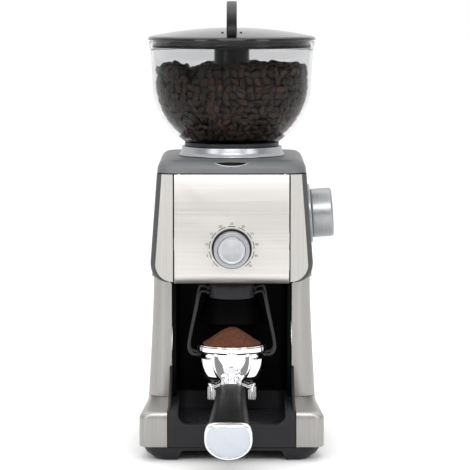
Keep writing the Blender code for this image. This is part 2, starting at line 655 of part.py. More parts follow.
def make_lid():
    rim_low = HOPPER_TOP + GAP + 0.0006
    plug_r = BAND_R - HOPPER_WALL - 0.0012
    plug_low, under = HOPPER_TOP - 0.0040, HOPPER_TOP + 0.0016
    top = [(r, dome_z(r)) for r in (0, 0.020, 0.040, 0.058, 0.072, 0.0765)]
    top += [(LID_R, dome_z(LID_R) - 0.0006), (LID_R, rim_low)]
    turn("lid", top + [
        (plug_r, rim_low), (plug_r, plug_low), (plug_r - WALL, plug_low), (plug_r - WALL, under),
        (0, under)], GLOSS, 32)
    ring_r, seal_low = plug_r - WALL - GAP, plug_low - 0.0021
    turn("lid_seal", [
        (plug_r + 0.0006, plug_low - GAP), (plug_r + 0.0006, seal_low), (ring_r - 0.002, seal_low),
        (ring_r - 0.002, under - 0.001), (ring_r, under - 0.001), (ring_r, plug_low - GAP)], RUBBER, 32)

    low_y, inner_y = LID_R - 0.0065, LID_R - 0.0155
    top_z, steps = HOPPER_TOP + HANDLE_RISE, 20
    outline = []
    for reach, peak in ((low_y, top_z), (inner_y, top_z - 0.0060)):
        foot = dome_z(reach) + GAP
        arch = []
        for i in range(steps + 1):
            a = math.pi * i / steps
            arch.append((reach * math.cos(a), foot + (peak - foot) * math.sin(a) ** 0.75))
        outline += arch if reach == low_y else arch[::-1]
    prism("lid_handle", outline, -HANDLE_WIDTH / 2, HANDLE_WIDTH / 2, BLACK, "X")


def make_collar():
    bore, sleeve = COLLAR_R - 0.0060, COLLAR_R - 0.0030
    low, sleeve_low = COVER_TOP + GAP, COLLAR_TOP - 0.036
    turn("collar", [
        (COLLAR_R - 0.0006, COLLAR_TOP), (COLLAR_R, COLLAR_TOP - 0.0006), (COLLAR_R + 0.0005, low + 0.003),
        (COLLAR_R + 0.0022, low + 0.0008), (COLLAR_R + 0.0022, low), (sleeve, low), (sleeve, sleeve_low),
        (bore, sleeve_low), (bore, COLLAR_TOP)], SATIN, 30)


# ================================================================ dials
def make_timer_dial():
    face, front = (0, HEAD_FRONT, DIAL_Z), (0, -1, 0)
    bezel = DIAL_R + 0.0015
    turn("timer_switch", [
        (bezel, 0.0012), (bezel, -0.0018), (0.0135, -0.0018), (0.0135, -0.0170), (0, -0.0170),
        (0, -0.0120), (0.0034, -0.0120), (0.0034, 0.0002), (bezel - 0.0016, 0.0002),
        (bezel - 0.0016, 0.0012)], BLACK, 20, face, front)
    out = 0.0175
    pocket = out - 0.0060
    turn("timer_knob", [
        (DIAL_R - 0.0007, out), (DIAL_R, out - 0.0010), (DIAL_R + 0.0002, 0.0018), (0.0030, 0.0018),
        (0.0030, -0.0115), (0, -0.0115), (0, pocket), (BUTTON_R + GAP, pocket),
        (BUTTON_R + GAP, out - 0.0004), (BUTTON_R + 0.0007, out)], SATIN, 30, face, front)
    button_back = pocket + BUTTON_TRAVEL + GAP
    turn("start_button", [
        (0, out + 0.0002), (BUTTON_R - 0.0006, out + 0.0002), (BUTTON_R, out - 0.0004),
        (BUTTON_R, button_back), (0, button_back)], SATIN, 30, face, front)


def make_grind_knob(right_cover):
    lean = math.atan((HEAD_HALF_W - HEAD_TOP_HALF_W) / (HEAD_TOP - SHOULDER_Z))
    axis = Vector((math.cos(lean), 0, math.sin(lean)))
    seat = Vector((wall_half_w(KNOB_Z) + GAP, 0, KNOB_Z))
    cut(right_cover, rod("knob_shaft_hole", SHAFT_R + 0.0018, -0.02, 0.02, DARK, seat, axis, 24))
    disc_r, disc_t = 0.0275, 0.0028
    turn("grind_escutcheon", [
        (disc_r - 0.0008, disc_t), (disc_r, disc_t - 0.0008), (disc_r, 0.0), (SHAFT_R + GAP, 0.0),
        (SHAFT_R + GAP, disc_t)], SATIN, 30, seat, axis)
    low, high = disc_t + GAP, disc_t + GAP + KNOB_LENGTH
    turn("grind_knob", [
        (0, high - 0.0006), (0.0180, high - 0.0006), (0.0186, high), (KNOB_R - 0.0014, high),
        (KNOB_R, high - 0.0014), (KNOB_R, low), (SHAFT_R + GAP, low), (SHAFT_R + GAP, low + 0.012),
        (0, low + 0.012)], SATIN, 30, seat, axis)

    inner_end = (seat.x - RING_PITCH_R + 0.003) / math.cos(lean)
    shaft = rod("grind_shaft", SHAFT_R, -inner_end, low + 0.0117, HARD_STEEL, seat, axis)
    pinion_r = RING_PITCH_R * PINION_TEETH / RING_TEETH
    module = 2 * pinion_r / PINION_TEETH
    gap_up = math.pi / PINION_TEETH
    wheel = gear_outline(PINION_TEETH, pinion_r, 0.62 * module, gap_up)
    pinion = prism("knob_pinion", wheel, -inner_end - 0.0002, -inner_end + 0.006, HARD_STEEL)
    pinion.location = seat
    pinion.rotation_mode = "QUATERNION"
    pinion.rotation_quaternion = Vector((0, 0, 1)).rotation_difference(axis)
    join(shaft, pinion)
    pinion_z = seat.z - (seat.x - RING_PITCH_R) * math.tan(lean)
    return pinion_z, pinion_r, module


# ================================================================ grinding works
def make_adjusting_ring(pinion_z, pinion_r, module):
    tip = pinion_z + pinion_r - 0.45 * module
    root = pinion_z + pinion_r + 0.62 * module
    low, high = root, root + 0.0075
    ring = turn("adjusting_ring", [
        (RING_PITCH_R + 0.0060, high), (RING_PITCH_R + 0.0060, low), (CHAMBER_R - 0.0028, low),
        (CHAMBER_R - 0.0028, high)], HARD_STEEL, 30)
    step = 2 * math.pi / RING_TEETH
    points, faces = [], []
    for i in range(RING_TEETH):
        first = len(points)
        for radius in (RING_PITCH_R - 0.003, RING_PITCH_R + 0.003):
            for share, z in ((-0.24, low + 0.001), (-0.13, tip), (0.13, tip), (0.24, low + 0.001)):
                angle = (i + share) * step
                points.append((radius * math.cos(angle), radius * math.sin(angle), z))
        faces += [[first + j for j in order] for order in (
            (0, 1, 2, 3), (4, 5, 6, 7), (0, 1, 5, 4), (1, 2, 6, 5), (2, 3, 7, 6), (3, 0, 4, 7))]
    join(ring, solid("ring_face_teeth", points, faces, HARD_STEEL))
    return low, high


def make_burrs(ring_high):
    carrier_r, seat_r = CHAMBER_R - 0.0032, 0.0273
    low, lip = CHAMBER_FLOOR + 0.015, CHAMBER_FLOOR + 0.040
    top = ring_high + 0.003
    turn("burr_carrier", [
        (carrier_r, top), (carrier_r, low), (seat_r + GAP, low), (seat_r + GAP, lip), (0.0215, lip),
        (0.0290, top)], HARD_STEEL, 26)
    angles = [2 * math.pi * i / 40 for i in range(40)]

    def toothed(z, radius, depth, twist):
        ring = []
        for i, angle in enumerate(angles):
            share = (i * BURR_RIDGES / len(angles)) % 1.0
            r = radius + depth * (share - 0.5)
            ring.append((r * math.cos(angle + twist), r * math.sin(angle + twist), z))
        return ring

    def plain(z, radius):
        return [(radius * math.cos(angle), radius * math.sin(angle), z) for angle in angles]

    z0, z1 = low + 0.0015, lip - GAP
    heights = [z0 + (z1 - z0) * i / 3 for i in range(4)]
    inner = [toothed(z, 0.0228 - 0.0078 * i / 3, 0.0010, 0.0) for i, z in enumerate(heights)]
    tube_loft("ring_burr", [plain(z, seat_r) for z in heights], inner, HARD_STEEL)

    c0, c1 = z0 - 0.0010, z1 + 0.0015
    heights = [c0 + (c1 - c0) * i / 4 for i in range(5)]
    outer = [toothed(z, 0.0208 - 0.0088 * i / 4, 0.0010, 0.15 * i) for i, z in enumerate(heights)]
    tube_loft("cone_burr", outer, [plain(z, BORE_R) for z in heights], HARD_STEEL)

    floor = CHAMBER_FLOOR + 0.003
    base, disc = floor + 0.0005, floor + 0.003
    impeller = turn("impeller", [(0.0305, disc), (0.0305, base), (0, base), (0, c0 - GAP),
                                 (0.0085, c0 - GAP), (0.0085, disc)], NYLON, 26)
    vanes = []
    for i in range(6):
        middle = 2 * math.pi * i / 6
        for share, radius in ((-0.16, 0.0080), (-0.04, 0.0305), (0.04, 0.0305), (0.16, 0.0080)):
            angle = middle + share * (1 if radius < 0.01 else 1.2)
            vanes.append((radius * math.cos(angle), radius * math.sin(angle)))
    join(impeller, prism("impeller_vanes", vanes, disc - 0.001, c0 - 0.0022, NYLON))
    cut(impeller, rod("impeller_bore", BORE_R, base - 0.01, c0 + 0.01, NYLON))
    return c1


def make_gearbox(burr_top):
    mesh_a = GEAR_MODULE * (BURR_TEETH + IDLER_LOW_TEETH) / 2
    mesh_b = GEAR_MODULE * (IDLER_HIGH_TEETH + MOTOR_TEETH) / 2
    idler_y, motor_y = mesh_a, mesh_a + mesh_b
    under = CHAMBER_FLOOR - GAP

    plate_low, plate_high = PLATE_Z, PLATE_Z + PLATE_T
    outline = rounded(0.031, -BEARING_R - 0.005, motor_y + 0.027, 0.006, 3)
    plate = prism("gear_plate", outline, plate_low, plate_high, SATIN)
    for i, (x, y) in enumerate(((-0.025, -0.008), (0.025, -0.008), (-0.025, 0.018), (0.025, 0.018))):
        join(plate, rod("gear_post_%d" % i, 0.003, plate_high - 0.001, under, SATIN, (x, y, 0), segments=10))
    for name, y, r in (("bearing_seat", 0, BEARING_R + GAP), ("idler_seat", idler_y, 0.0033),
                       ("motor_seat", motor_y, 0.0050)):
        cut(plate, rod(name, r, plate_low - 0.01, plate_high + 0.01, SATIN, (0, y, 0), segments=20))
    ring = [(BEARING_R, 0.0045), (BEARING_R, 0), (BORE_R, 0), (BORE_R, 0.0045)]
    turn("bearing_lower", ring, HARD_STEEL, 16, (0, 0, plate_low))
    turn("bearing_upper", ring, HARD_STEEL, 16, (0, 0, CHAMBER_FLOOR - 0.0018))

    shaft = rod("drive_shaft", SHAFT_R, plate_low, burr_top + 0.004, HARD_STEEL, segments=16)
    burr_r, low_r = GEAR_MODULE * BURR_TEETH / 2, GEAR_MODULE * IDLER_LOW_TEETH / 2
    high_r, motor_r = GEAR_MODULE * IDLER_HIGH_TEETH / 2, GEAR_MODULE * MOTOR_TEETH / 2
    up = math.pi / 2
    join(shaft, prism("burr_gear", gear_outline(BURR_TEETH, burr_r, GEAR_MODULE, up), *LOW_GEARS, HARD_STEEL))

    idler = turn("idler_gear", [
        (0, under - GAP), (0.003, under - GAP), (0.003, HIGH_GEARS[1] - 0.001),
        (0.006, HIGH_GEARS[1] - 0.001), (0.006, LOW_GEARS[0] + 0.001), (0.003, LOW_GEARS[0] + 0.001),
        (0.003, plate_low), (0, plate_low)], NYLON, 24, (0, idler_y, 0))
    half = math.pi / IDLER_LOW_TEETH
    low = shifted(gear_outline(IDLER_LOW_TEETH, low_r, GEAR_MODULE, -up + half), 0, idler_y)
    high = shifted(gear_outline(IDLER_HIGH_TEETH, high_r, GEAR_MODULE, up), 0, idler_y)
    join(idler, prism("idler_low_teeth", low, *LOW_GEARS, NYLON))
    join(idler, prism("idler_high_teeth", high, *HIGH_GEARS, NYLON))

    can_top = plate_low - GAP
    bottom = can_top - MOTOR_LENGTH
    turn("motor", [
        (0.0028, can_top), (0.0100, can_top), (MOTOR_R - 0.002, can_top), (MOTOR_R, can_top - 0.002),
        (MOTOR_R, bottom + 0.004), (MOTOR_R - 0.004, bottom), (0, bottom), (0, can_top - 0.020),
        (0.0028, can_top - 0.020)], SATIN, 24, (0, motor_y, 0))
    rotor = rod("motor_shaft", 0.0025, can_top - 0.0197, under - 0.001, HARD_STEEL, (0, motor_y, 0), None, 12)
    half = math.pi / MOTOR_TEETH
    teeth = shifted(gear_outline(MOTOR_TEETH, motor_r, GEAR_MODULE, -up + half), 0, motor_y)
    join(rotor, prism("motor_pinion", teeth, *HIGH_GEARS, HARD_STEEL))


def make_chamber():
    wall, floor = CHAMBER_R - 0.0025, CHAMBER_FLOOR + 0.003
    chamber = turn("grind_chamber", [
        (CHAMBER_R, CHAMBER_TOP), (CHAMBER_R, CHAMBER_FLOOR), (BEARING_R + GAP, CHAMBER_FLOOR),
        (BEARING_R + GAP, floor), (wall, floor), (wall, CHAMBER_TOP)], GREY, 30)
    drop_y = 0.0095 - wall
    cut(chamber, rod("grounds_drop", 0.0060, CHAMBER_FLOOR - 0.01, floor + 0.01, GREY,
                     (0, drop_y, 0), None, 20))
    top = CHAMBER_FLOOR - GAP
    turn("outlet_nozzle", [
        (CHUTE_BORE, top), (CHUTE_R, top), (CHUTE_R, HEAD_BOTTOM - 0.0006),
        (OUTLET_R - 0.002, HEAD_BOTTOM - 0.0006), (OUTLET_R, OUTLET_BOTTOM + 0.0115),
        (OUTLET_R, OUTLET_BOTTOM + 0.0006), (OUTLET_R - 0.0006, OUTLET_BOTTOM),
        (CHUTE_BORE, OUTLET_BOTTOM)], BLACK, 24, (0, OUTLET_Y, 0))


def make_board():
    x, front, back = -(BAY_HALF_W - 0.0095), BAY_BACK + 0.009, BASE_BACK - WALL - GAP
    low, thin = FOOT_TOP + 0.0145, 0.0016
    board = block("circuit_board", (x, front, low), (x + thin, back, low + 0.068), BOARD)
    blocks = (("relay", 0.010, 0.010, 0.014, 0.011), ("capacitor", 0.030, 0.015, 0.018, 0.010),
              ("terminal", 0.045, 0.040, 0.016, 0.009))
    for name, along, up, tall, height in blocks:
        y, z = front + along, low + up
        near, far = (x + thin / 2, y, z), (x + thin + height, y + 0.012, z + tall)
        join(board, block("board_" + name, near, far, BOARD))


# ================================================================ cradle and portafilter
def make_cradle():
    """Each wire runs from the nozzle out and down, under the filter's rim, and back up behind."""
    out, y = FILTER_R + 0.0124, OUTLET_Y
    low = FILTER_RIM_Z - RIM_LEDGE - 0.0004 - WIRE_R
    start = math.sqrt(OUTLET_R ** 2 - 0.004 ** 2) + 0.0007
    run = FILTER_R + WIRE_R + 0.0009
    foot = [(out - 0.0009, 0.009, FILTER_RIM_Z + 0.0080), (out, 0.010, low + 0.006),
            (out - 0.003, 0.0105, low + 0.0008), (run + 0.0022, 0.0100, low), (run, 0.006, low)]
    front = [(start, 0.004, OUTLET_BOTTOM + 0.0048), (start + 0.005, 0.0045, OUTLET_BOTTOM + 0.0063),
             (out - 0.0096, 0.006, OUTLET_BOTTOM + 0.0043), (out - 0.0061, 0.007, OUTLET_BOTTOM - 0.0117)]
    back = [(start, 0.004, OUTLET_BOTTOM + 0.0088), (start + 0.005, 0.0045, OUTLET_BOTTOM + 0.0101),
            (out - 0.0096, 0.006, OUTLET_BOTTOM + 0.0083), (out - 0.0061, 0.007, OUTLET_BOTTOM - 0.0097)]
    for side, name in ((-1, "cradle_wire_left"), (1, "cradle_wire_right")):
        route = [(side * px, y - py, pz) for px, py, pz in front + foot]
        route += [(side * px, y + py, pz) for px, py, pz in (back + foot)[::-1]]
        wire(name, route, WIRE_R, HARD_STEEL)


def make_portafilter():
    at = (0, OUTLET_Y, 0)
    low, rim = FILTER_BASE_Z, FILTER_RIM_Z
    cup, ledge, shelf = FILTER_R - 0.0020, rim - RIM_LEDGE, rim - RIM_LEDGE - WIRE_SLOT
    wide = FILTER_BODY_R
    body = turn("portafilter_body", [
        (FILTER_RIM_R, rim), (FILTER_RIM_R, rim - 0.0042), (FILTER_RIM_R - 0.0015, ledge), (FILTER_R, ledge),
        (FILTER_R, shelf), (wide, shelf - 0.0006), (wide - 0.0012, low + 0.006), (wide - 0.0055, low + 0.001),
        (wide - 0.0090, low), (0.005, low), (0.005, low + 0.003), (cup, low + 0.004), (cup, rim)],
        CHROME, 28, at)
    bib = arc(0, 0, wide, wide, -128, -52, 8)
    bib += arc(0, 0, FILTER_R - 0.001, FILTER_R - 0.001, -52, -128, 8)
    join(body, prism("body_front", shifted(bib, 0, OUTLET_Y), shelf - 0.001, ledge + 0.001, CHROME))
    basket_lip = rim + GAP
    turn("filter_basket", [
        (FILTER_RIM_R - 0.0006, basket_lip + 0.0010), (FILTER_RIM_R - 0.0006, basket_lip),
        (cup - GAP, basket_lip), (cup - GAP, rim - 0.0225), (cup - 0.004, rim - 0.0240), (0, rim - 0.0240),
        (0, rim - 0.0232), (cup - 0.0045, rim - 0.0232), (cup - 0.0012, rim - 0.0220),
        (cup - 0.0012, basket_lip + 0.0010)], CHROME, 28, at)
    bed, lip = cup - 0.0016, basket_lip + 0.0010 + GAP
    slopes = ((0.80, 0.0030), (0.53, 0.0082), (0.27, 0.0128), (0.12, 0.0147), (0.0, 0.0153))
    heap = [(bed + 0.0030, lip)] + [((bed + 0.0046) * share, lip + rise) for share, rise in slopes]
    turn("coffee_grounds", [(0, rim - 0.0228), (cup - 0.0050, rim - 0.0228), (bed, rim - 0.0212), (bed, lip)]
         + heap, GROUNDS, 24, at)

    spout_top, half = low - GAP, 0.0185
    horn = [(half + 0.001, low - 0.0200), (half, low - 0.0155), (half * 0.62, low - 0.0085),
            (0, low - 0.0065)]
    route = [(-x, OUTLET_Y, z) for x, z in horn] + [(x, OUTLET_Y, z) for x, z in horn[-2::-1]]
    spout = wire("portafilter_spout", route, 0.0058, CHROME, 2, 10)
    join(spout, rod("spout_stem", 0.0080, low - 0.0085, spout_top, CHROME, at, segments=20))

    slope, yaw = HANDLE_SLOPE, HANDLE_YAW
    start = Vector((0, OUTLET_Y - FILTER_R, FILTER_RIM_Z - 0.0250))
    ahead = Vector((math.sin(yaw) * math.cos(slope), -math.cos(yaw) * math.cos(slope), -math.sin(slope)))
    across = Vector((math.cos(yaw), math.sin(yaw), 0))
    up = across.cross(ahead)
    if up.z < 0:
        up = -up

    def section(s, half_w, half_h, power=2.0, flat=1.0, n=24):
        """Cross-section of the handle, round below; a power over 2 squares its top, flat lowers it."""
        ring = []
        for i in range(n):
            a = 2 * math.pi * i / n
            c, d = math.cos(a), math.sin(a)
            bend = 2 / power if d > 0 else 1
            u = half_w * math.copysign(abs(c) ** bend, c)
            v = half_h * math.copysign(abs(d) ** bend, d)
            v = min(v, half_h * flat)
            ring.append(start + ahead * s + across * u + up * v)
        return ring

    join(body, loft("portafilter_neck", [
        section(-0.0020, 0.0108, 0.0086), section(0.0022, 0.0105, 0.0085), section(0.008, 0.0085, 0.0072),
        section(0.016, 0.0078, 0.0070), section(0.0165, 0.0098, 0.0085),
        section(GRIP_START - GAP, 0.0108, 0.0092)], CHROME), "MANIFOLD")
    span = GRIP_END - GRIP_START
    grip = [(0.0, 0.0122, 0.0092, 2.2), (0.006, 0.0134, 0.0104, 2.3), (0.3, 0.0148, 0.0120, 2.4),
            (0.65, 0.0174, 0.0149, 2.6), (0.97, 0.0196, 0.0170, 3.0), (1.0, 0.0192, 0.0167, 3.0)]
    loft("portafilter_grip", [section(GRIP_START + span * share if share > 0.01 or share == 0 else
                                      GRIP_START + share, w, h, p, 0.91) for share, w, h, p in grip], BLACK)
    end = GRIP_END + GAP
    loft("portafilter_end_cap", [
        section(end, 0.0206, 0.0178, 3.2, 0.88), section(end + 0.0008, 0.0211, 0.0182, 3.2, 0.88),
        section(end + 0.0050, 0.0211, 0.0182, 3.2, 0.88),
        section(end + 0.0062, 0.0200, 0.0172, 3.2, 0.88)], CHROME)


make_plinth()
for side, word in ((-1, "left"), (1, "right")):
    make_foot_cover(side, "foot_cover_" + word)
    make_leg_panel(side, "leg_panel_" + word)
    make_side_strip(side, "side_strip_" + word)
make_back_cover()
make_bay()
make_tray()
make_front_panel()
make_head_cover(-1, "head_cover_left")
cover_right = make_head_cover(1, "head_cover_right")
make_top_cover()
make_head_floor()
make_hopper()
make_lid()
make_collar()
make_timer_dial()
ring_low, ring_high = make_adjusting_ring(*make_grind_knob(cover_right))
make_chamber()
make_gearbox(make_burrs(ring_high))
make_board()
make_cradle()
make_portafilter()
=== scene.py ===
# %% [markdown]
# # A burr coffee grinder, finished for the camera
# The machine's moving parts already exist as a packed mechanical model: every solid has its true size and
# place, and rides on a body with a joint. This lesson gives each of those solids the surface that a person
# sees and touches. A piece whose plain solid already has the right shape keeps it and gets a finish. A piece
# with curves, soft edges or grain is made again here, finer, exactly where the plain one lies.

# %% Load the mechanical model
import math
import random
import json

import bmesh
import bpy
import numpy as np
from mathutils import Matrix, Vector, noise


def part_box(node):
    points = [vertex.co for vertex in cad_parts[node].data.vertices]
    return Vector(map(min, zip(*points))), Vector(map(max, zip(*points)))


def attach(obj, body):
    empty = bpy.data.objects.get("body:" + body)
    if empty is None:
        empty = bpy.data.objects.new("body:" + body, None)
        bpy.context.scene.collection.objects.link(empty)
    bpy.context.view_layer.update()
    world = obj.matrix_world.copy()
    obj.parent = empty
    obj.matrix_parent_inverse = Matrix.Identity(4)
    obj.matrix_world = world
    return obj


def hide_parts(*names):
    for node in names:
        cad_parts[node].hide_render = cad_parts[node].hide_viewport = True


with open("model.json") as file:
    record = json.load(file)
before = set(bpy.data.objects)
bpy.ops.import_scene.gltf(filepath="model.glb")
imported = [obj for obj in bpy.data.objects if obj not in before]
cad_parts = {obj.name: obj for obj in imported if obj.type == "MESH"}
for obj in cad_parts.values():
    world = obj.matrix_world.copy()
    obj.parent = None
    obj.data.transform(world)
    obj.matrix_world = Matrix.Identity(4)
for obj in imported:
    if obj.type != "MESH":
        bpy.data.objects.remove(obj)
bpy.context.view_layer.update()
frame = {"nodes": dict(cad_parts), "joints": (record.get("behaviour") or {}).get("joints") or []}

# %% [markdown]
# ## Reading sizes from the model
# The big sizes are read, not typed again. Each corner of a solid's box is a size that some finer piece needs,
# such as the hopper's rim radius or the height of the shoulder, so the boxes are read once and given plain
# names. Only small steps, such as a wall or a rounded edge, are given as numbers where they are used.

# %% Sizes read from the solids
LOW, HIGH = 0, 1
BOX = {name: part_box(name) for name in frame["nodes"]}


def edge(node, end, axis):
    return BOX[node][end]["xyz".index(axis)]


GAP = 0.0003
BASE_HALF_W = edge("foot_cover_right", HIGH, "x")
BASE_FRONT, BASE_BACK = edge("foot_cover_right", LOW, "y"), edge("foot_cover_right", HIGH, "y")
PLINTH_LOW, PLINTH_TOP = edge("base_plinth", LOW, "z"), edge("base_plinth", HIGH, "z")
PLINTH_HALF_W = edge("base_plinth", HIGH, "x")
FOOT_TOP = edge("foot_cover_right", HIGH, "z")
BAY_HALF_W = edge("leg_panel_right", LOW, "x") - GAP
COLUMN_HALF_W = edge("leg_panel_right", HIGH, "x")
COLUMN_FRONT = edge("leg_panel_right", LOW, "y")
NECK_HALF_W = COLUMN_HALF_W - 0.005
SHOULDER_Z = edge("leg_panel_right", HIGH, "z")
HEAD_BOTTOM = edge("front_panel", LOW, "z")
HEAD_TOP = edge("front_panel", HIGH, "z") + GAP
HEAD_FRONT = edge("front_panel", LOW, "y")
PANEL_HALF_W = edge("front_panel", HIGH, "x")
HEAD_HALF_W = edge("head_cover_right", HIGH, "x")
HEAD_TOP_HALF_W = edge("top_cover", HIGH, "x")
COVER_TOP = edge("top_cover", HIGH, "z")
BAY_BACK = edge("bay_liner", HIGH, "y") - 0.003
print("head", round(2000 * HEAD_HALF_W, 1), "wide,", round(1000 * (HEAD_TOP - HEAD_BOTTOM), 1), "tall, in mm")

# %% [markdown]
# ## Three ways to make a mesh
# Almost every part of a kitchen machine is turned, folded or moulded. A turned part is a profile spun about
# an axis. A folded sheet or a moulded shell is a stack of outlines joined level by level, which is called a
# loft. A knob edge or a moulding never ends in a knife edge, so `eased` rounds a drawn profile before it is
# spun, and a Bevel modifier does the same for lofts.

# %% Rounding the corners of a drawn outline
def eased(corners, radius, steps=5):
    """Closed outline whose corners are rounded; a corner given as (x, y, r) has its own radius."""
    outline, count = [], len(corners)
    for i, corner in enumerate(corners):
        here = Vector(corner[:2])
        before, after = Vector(corners[i - 1][:2]), Vector(corners[(i + 1) % count][:2])
        into, out = before - here, after - here
        reach = corner[2] if len(corner) > 2 else radius
        reach = min(reach, 0.45 * into.length, 0.45 * out.length)
        straight = abs(into.normalized().dot(out.normalized())) > 0.999
        if reach < 1e-6 or straight or abs(here.x) < 1e-7:
            outline.append(tuple(here))
            continue
        start, end = here + into.normalized() * reach, here + out.normalized() * reach
        for k in range(steps + 1):
            t = k / steps
            outline.append(tuple((1 - t) ** 2 * start + 2 * t * (1 - t) * here + t * t * end))
    return outline


print("a square with eased corners has", len(eased([(1, 1), (-1, 1), (-1, -1), (1, -1)], 0.2)), "points")

# %% Making a piece, and telling the frame what it stands for
SIDES = ((-1, "left"), (1, "right"))


def in_scene(name, data):
    made = bpy.data.objects.new(name, data)
    bpy.context.scene.collection.objects.link(made)
    return made


def piece(name, points, faces, finish, body, stands_for=(), crease=32):
    """A mesh piece riding on a body, shaded smooth except where faces meet at more than the crease angle."""
    mesh = bpy.data.meshes.new(name)
    mesh.from_pydata([tuple(p) for p in points], [], faces)
    work = bmesh.new()
    work.from_mesh(mesh)
    bmesh.ops.remove_doubles(work, verts=work.verts, dist=2e-6)
    bmesh.ops.recalc_face_normals(work, faces=work.faces)
    work.to_mesh(mesh)
    work.free()
    mesh.shade_smooth()
    mesh.set_sharp_from_angle(angle=math.radians(crease))
    mesh.materials.append(finish)
    made = in_scene(name, mesh)
    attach(made, body)
    if stands_for:
        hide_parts(*stands_for)
    return made


def bevelled(made, width, segments=3, angle=30):
    """Softens every edge sharper than the angle, as a mould or a press does."""
    change = made.modifiers.new("soft_edges", "BEVEL")
    change.width, change.segments = width, segments
    change.limit_method = "ANGLE"
    change.angle_limit = math.radians(angle)
    change.harden_normals = True
    return made


# %% Spinning a profile
def spun(name, profile, finish, body, stands_for=(), segments=96, at=(0, 0, 0), axis=(0, 0, 1), crease=32):
    """Closed profile of (radius, height) spun about an axis through a point."""
    turn = Vector((0, 0, 1)).rotation_difference(Vector(axis)).to_matrix()
    origin = Vector(at)
    points, rows = [], []
    for radius, height in profile:
        if abs(radius) < 1e-7:
            rows.append([len(points)] * segments)
            points.append(origin + turn @ Vector((0, 0, height)))
            continue
        rows.append([len(points) + i for i in range(segments)])
        for i in range(segments):
            angle = 2 * math.pi * i / segments
            spot = Vector((radius * math.cos(angle), radius * math.sin(angle), height))
            points.append(origin + turn @ spot)
    faces = []
    for low, high in zip(rows, rows[1:] + rows[:1]):
        for i in range(segments):
            j = (i + 1) % segments
            face = list(dict.fromkeys([low[i], low[j], high[j], high[i]]))
            if len(face) > 2:
                faces.append(face)
    return piece(name, points, faces, finish, body, stands_for, crease)


# %% Joining a stack of outlines
def lofted(name, rings, finish, body, stands_for=(), crease=32):
    """Closed solid through rings that all have the same number of points."""
    n = len(rings[0])
    points = [p for ring in rings for p in ring]
    faces = [list(range(n)), [len(points) - n + i for i in range(n)]]
    for level in range(len(rings) - 1):
        a, b = level * n, (level + 1) * n
        faces += [[a + i, a + (i + 1) % n, b + (i + 1) % n, b + i] for i in range(n)]
    return piece(name, points, faces, finish, body, stands_for, crease)


def slab(name, outline, low, high, finish, body, stands_for=(), axis="Z"):
    """An outline pulled straight along an axis."""
    place = {"Z": lambda u, v, w: (u, v, w), "Y": lambda u, v, w: (u, w, v),
             "X": lambda u, v, w: (w, u, v)}[axis]
    rings = [[place(u, v, w) for u, v in outline] for w in (low, high)]
    return lofted(name, rings, finish, body, stands_for)


def arc(cx, cy, rx, ry, start, end, steps):
    angles = [math.radians(start + (end - start) * i / steps) for i in range(steps + 1)]
    return [(cx + rx * math.cos(a), cy + ry * math.sin(a)) for a in angles]


def rounded(half_w, front, back, radius, steps=12):
    """Rounded rectangle centred across X, from front to back."""
    x, low, high = half_w - radius, front + radius, back - radius
    return (arc(x, low, radius, radius, -90, 0, steps) + arc(x, high, radius, radius, 0, 90, steps)
            + arc(-x, high, radius, radius, 90, 180, steps) + arc(-x, low, radius, radius, 180, 270, steps))


def at_height(outline, z):
    return [(x, y, z) for x, y in outline]


def smooth_path(points, per_span):
    """Catmull-Rom curve through the points."""
    ends = [2 * points[0] - points[1]] + points + [2 * points[-1] - points[-2]]
    path = []
    for a, b, c, d in zip(ends, ends[1:], ends[2:], ends[3:]):
        for k in range(per_span):
            t = k / per_span
            path.append(0.5 * (2 * b + (c - a) * t + (2 * a - 5 * b + 4 * c - d) * t * t
                               + (3 * b - a - 3 * c + d) * t ** 3))
    return path + [points[-1]]


print("helpers ready")

# %% [markdown]
# Sheet metal parts are drawn as an open line and given a wall. Offsetting each point along the average of
# its two neighbours' normals keeps the wall even round bends.

# %% Giving an open line a wall, and cutting with a hidden tool
def thicken(path, wall):
    inner = []
    for i, (x, y) in enumerate(path):
        here = Vector((x, y))
        sides = [Vector(path[j]) for j in (i - 1, i + 1) if 0 <= j < len(path)]
        runs = [here - sides[0], sides[1] - here] if len(sides) == 2 else [
            (here - sides[0]) if i else (sides[0] - here)]
        normals = [Vector((-run.y, run.x)).normalized() for run in runs if run.length > 1e-9]
        total = sum(normals, Vector((0, 0)))
        inner.append(tuple(here + total * wall / (1 + normals[0].dot(normals[-1])) if len(normals) == 2
                           else here + total * wall))
    return list(path) + inner[::-1]


def mirrored(outline, side):
    return [(side * x, y) for x, y in outline]


def carve(made, tool, operation="DIFFERENCE"):
    """Applies a Boolean at once and removes its tool."""
    change = made.modifiers.new("carve", "BOOLEAN")
    change.operation, change.solver, change.object = operation, "EXACT", tool
    order = made.modifiers
    while order[0] != change:
        order.move(len(order) - 1, 0)
    context = {"object": made, "active_object": made}
    with bpy.context.temp_override(**context):
        bpy.ops.object.modifier_apply(modifier=change.name)
    bpy.data.objects.remove(tool, do_unlink=True)
    made.data.set_sharp_from_angle(angle=math.radians(32))
    return made


def drilled(made, radius, top, bottom, finish, segments, at=(0, 0, 0), axis=(0, 0, 1)):
    """Cuts a round hole through a housing piece, between two heights along the axis."""
    rod = [(0, top), (radius, top), (radius, bottom), (0, bottom)]
    return carve(made, spun("round_tool", rod, finish, "housing", (), segments, at, axis))


print("walls and cuts ready")

# %% [markdown]
# ## Finishes
# A finish is a small node graph. Metals get their colour from reflection, so what tells brushed steel from
# polished chrome is roughness and the direction of its scratches, not its colour. Each graph below reads the
# object's own coordinates, in metres, so a scratch or a grain keeps its real size on every piece.

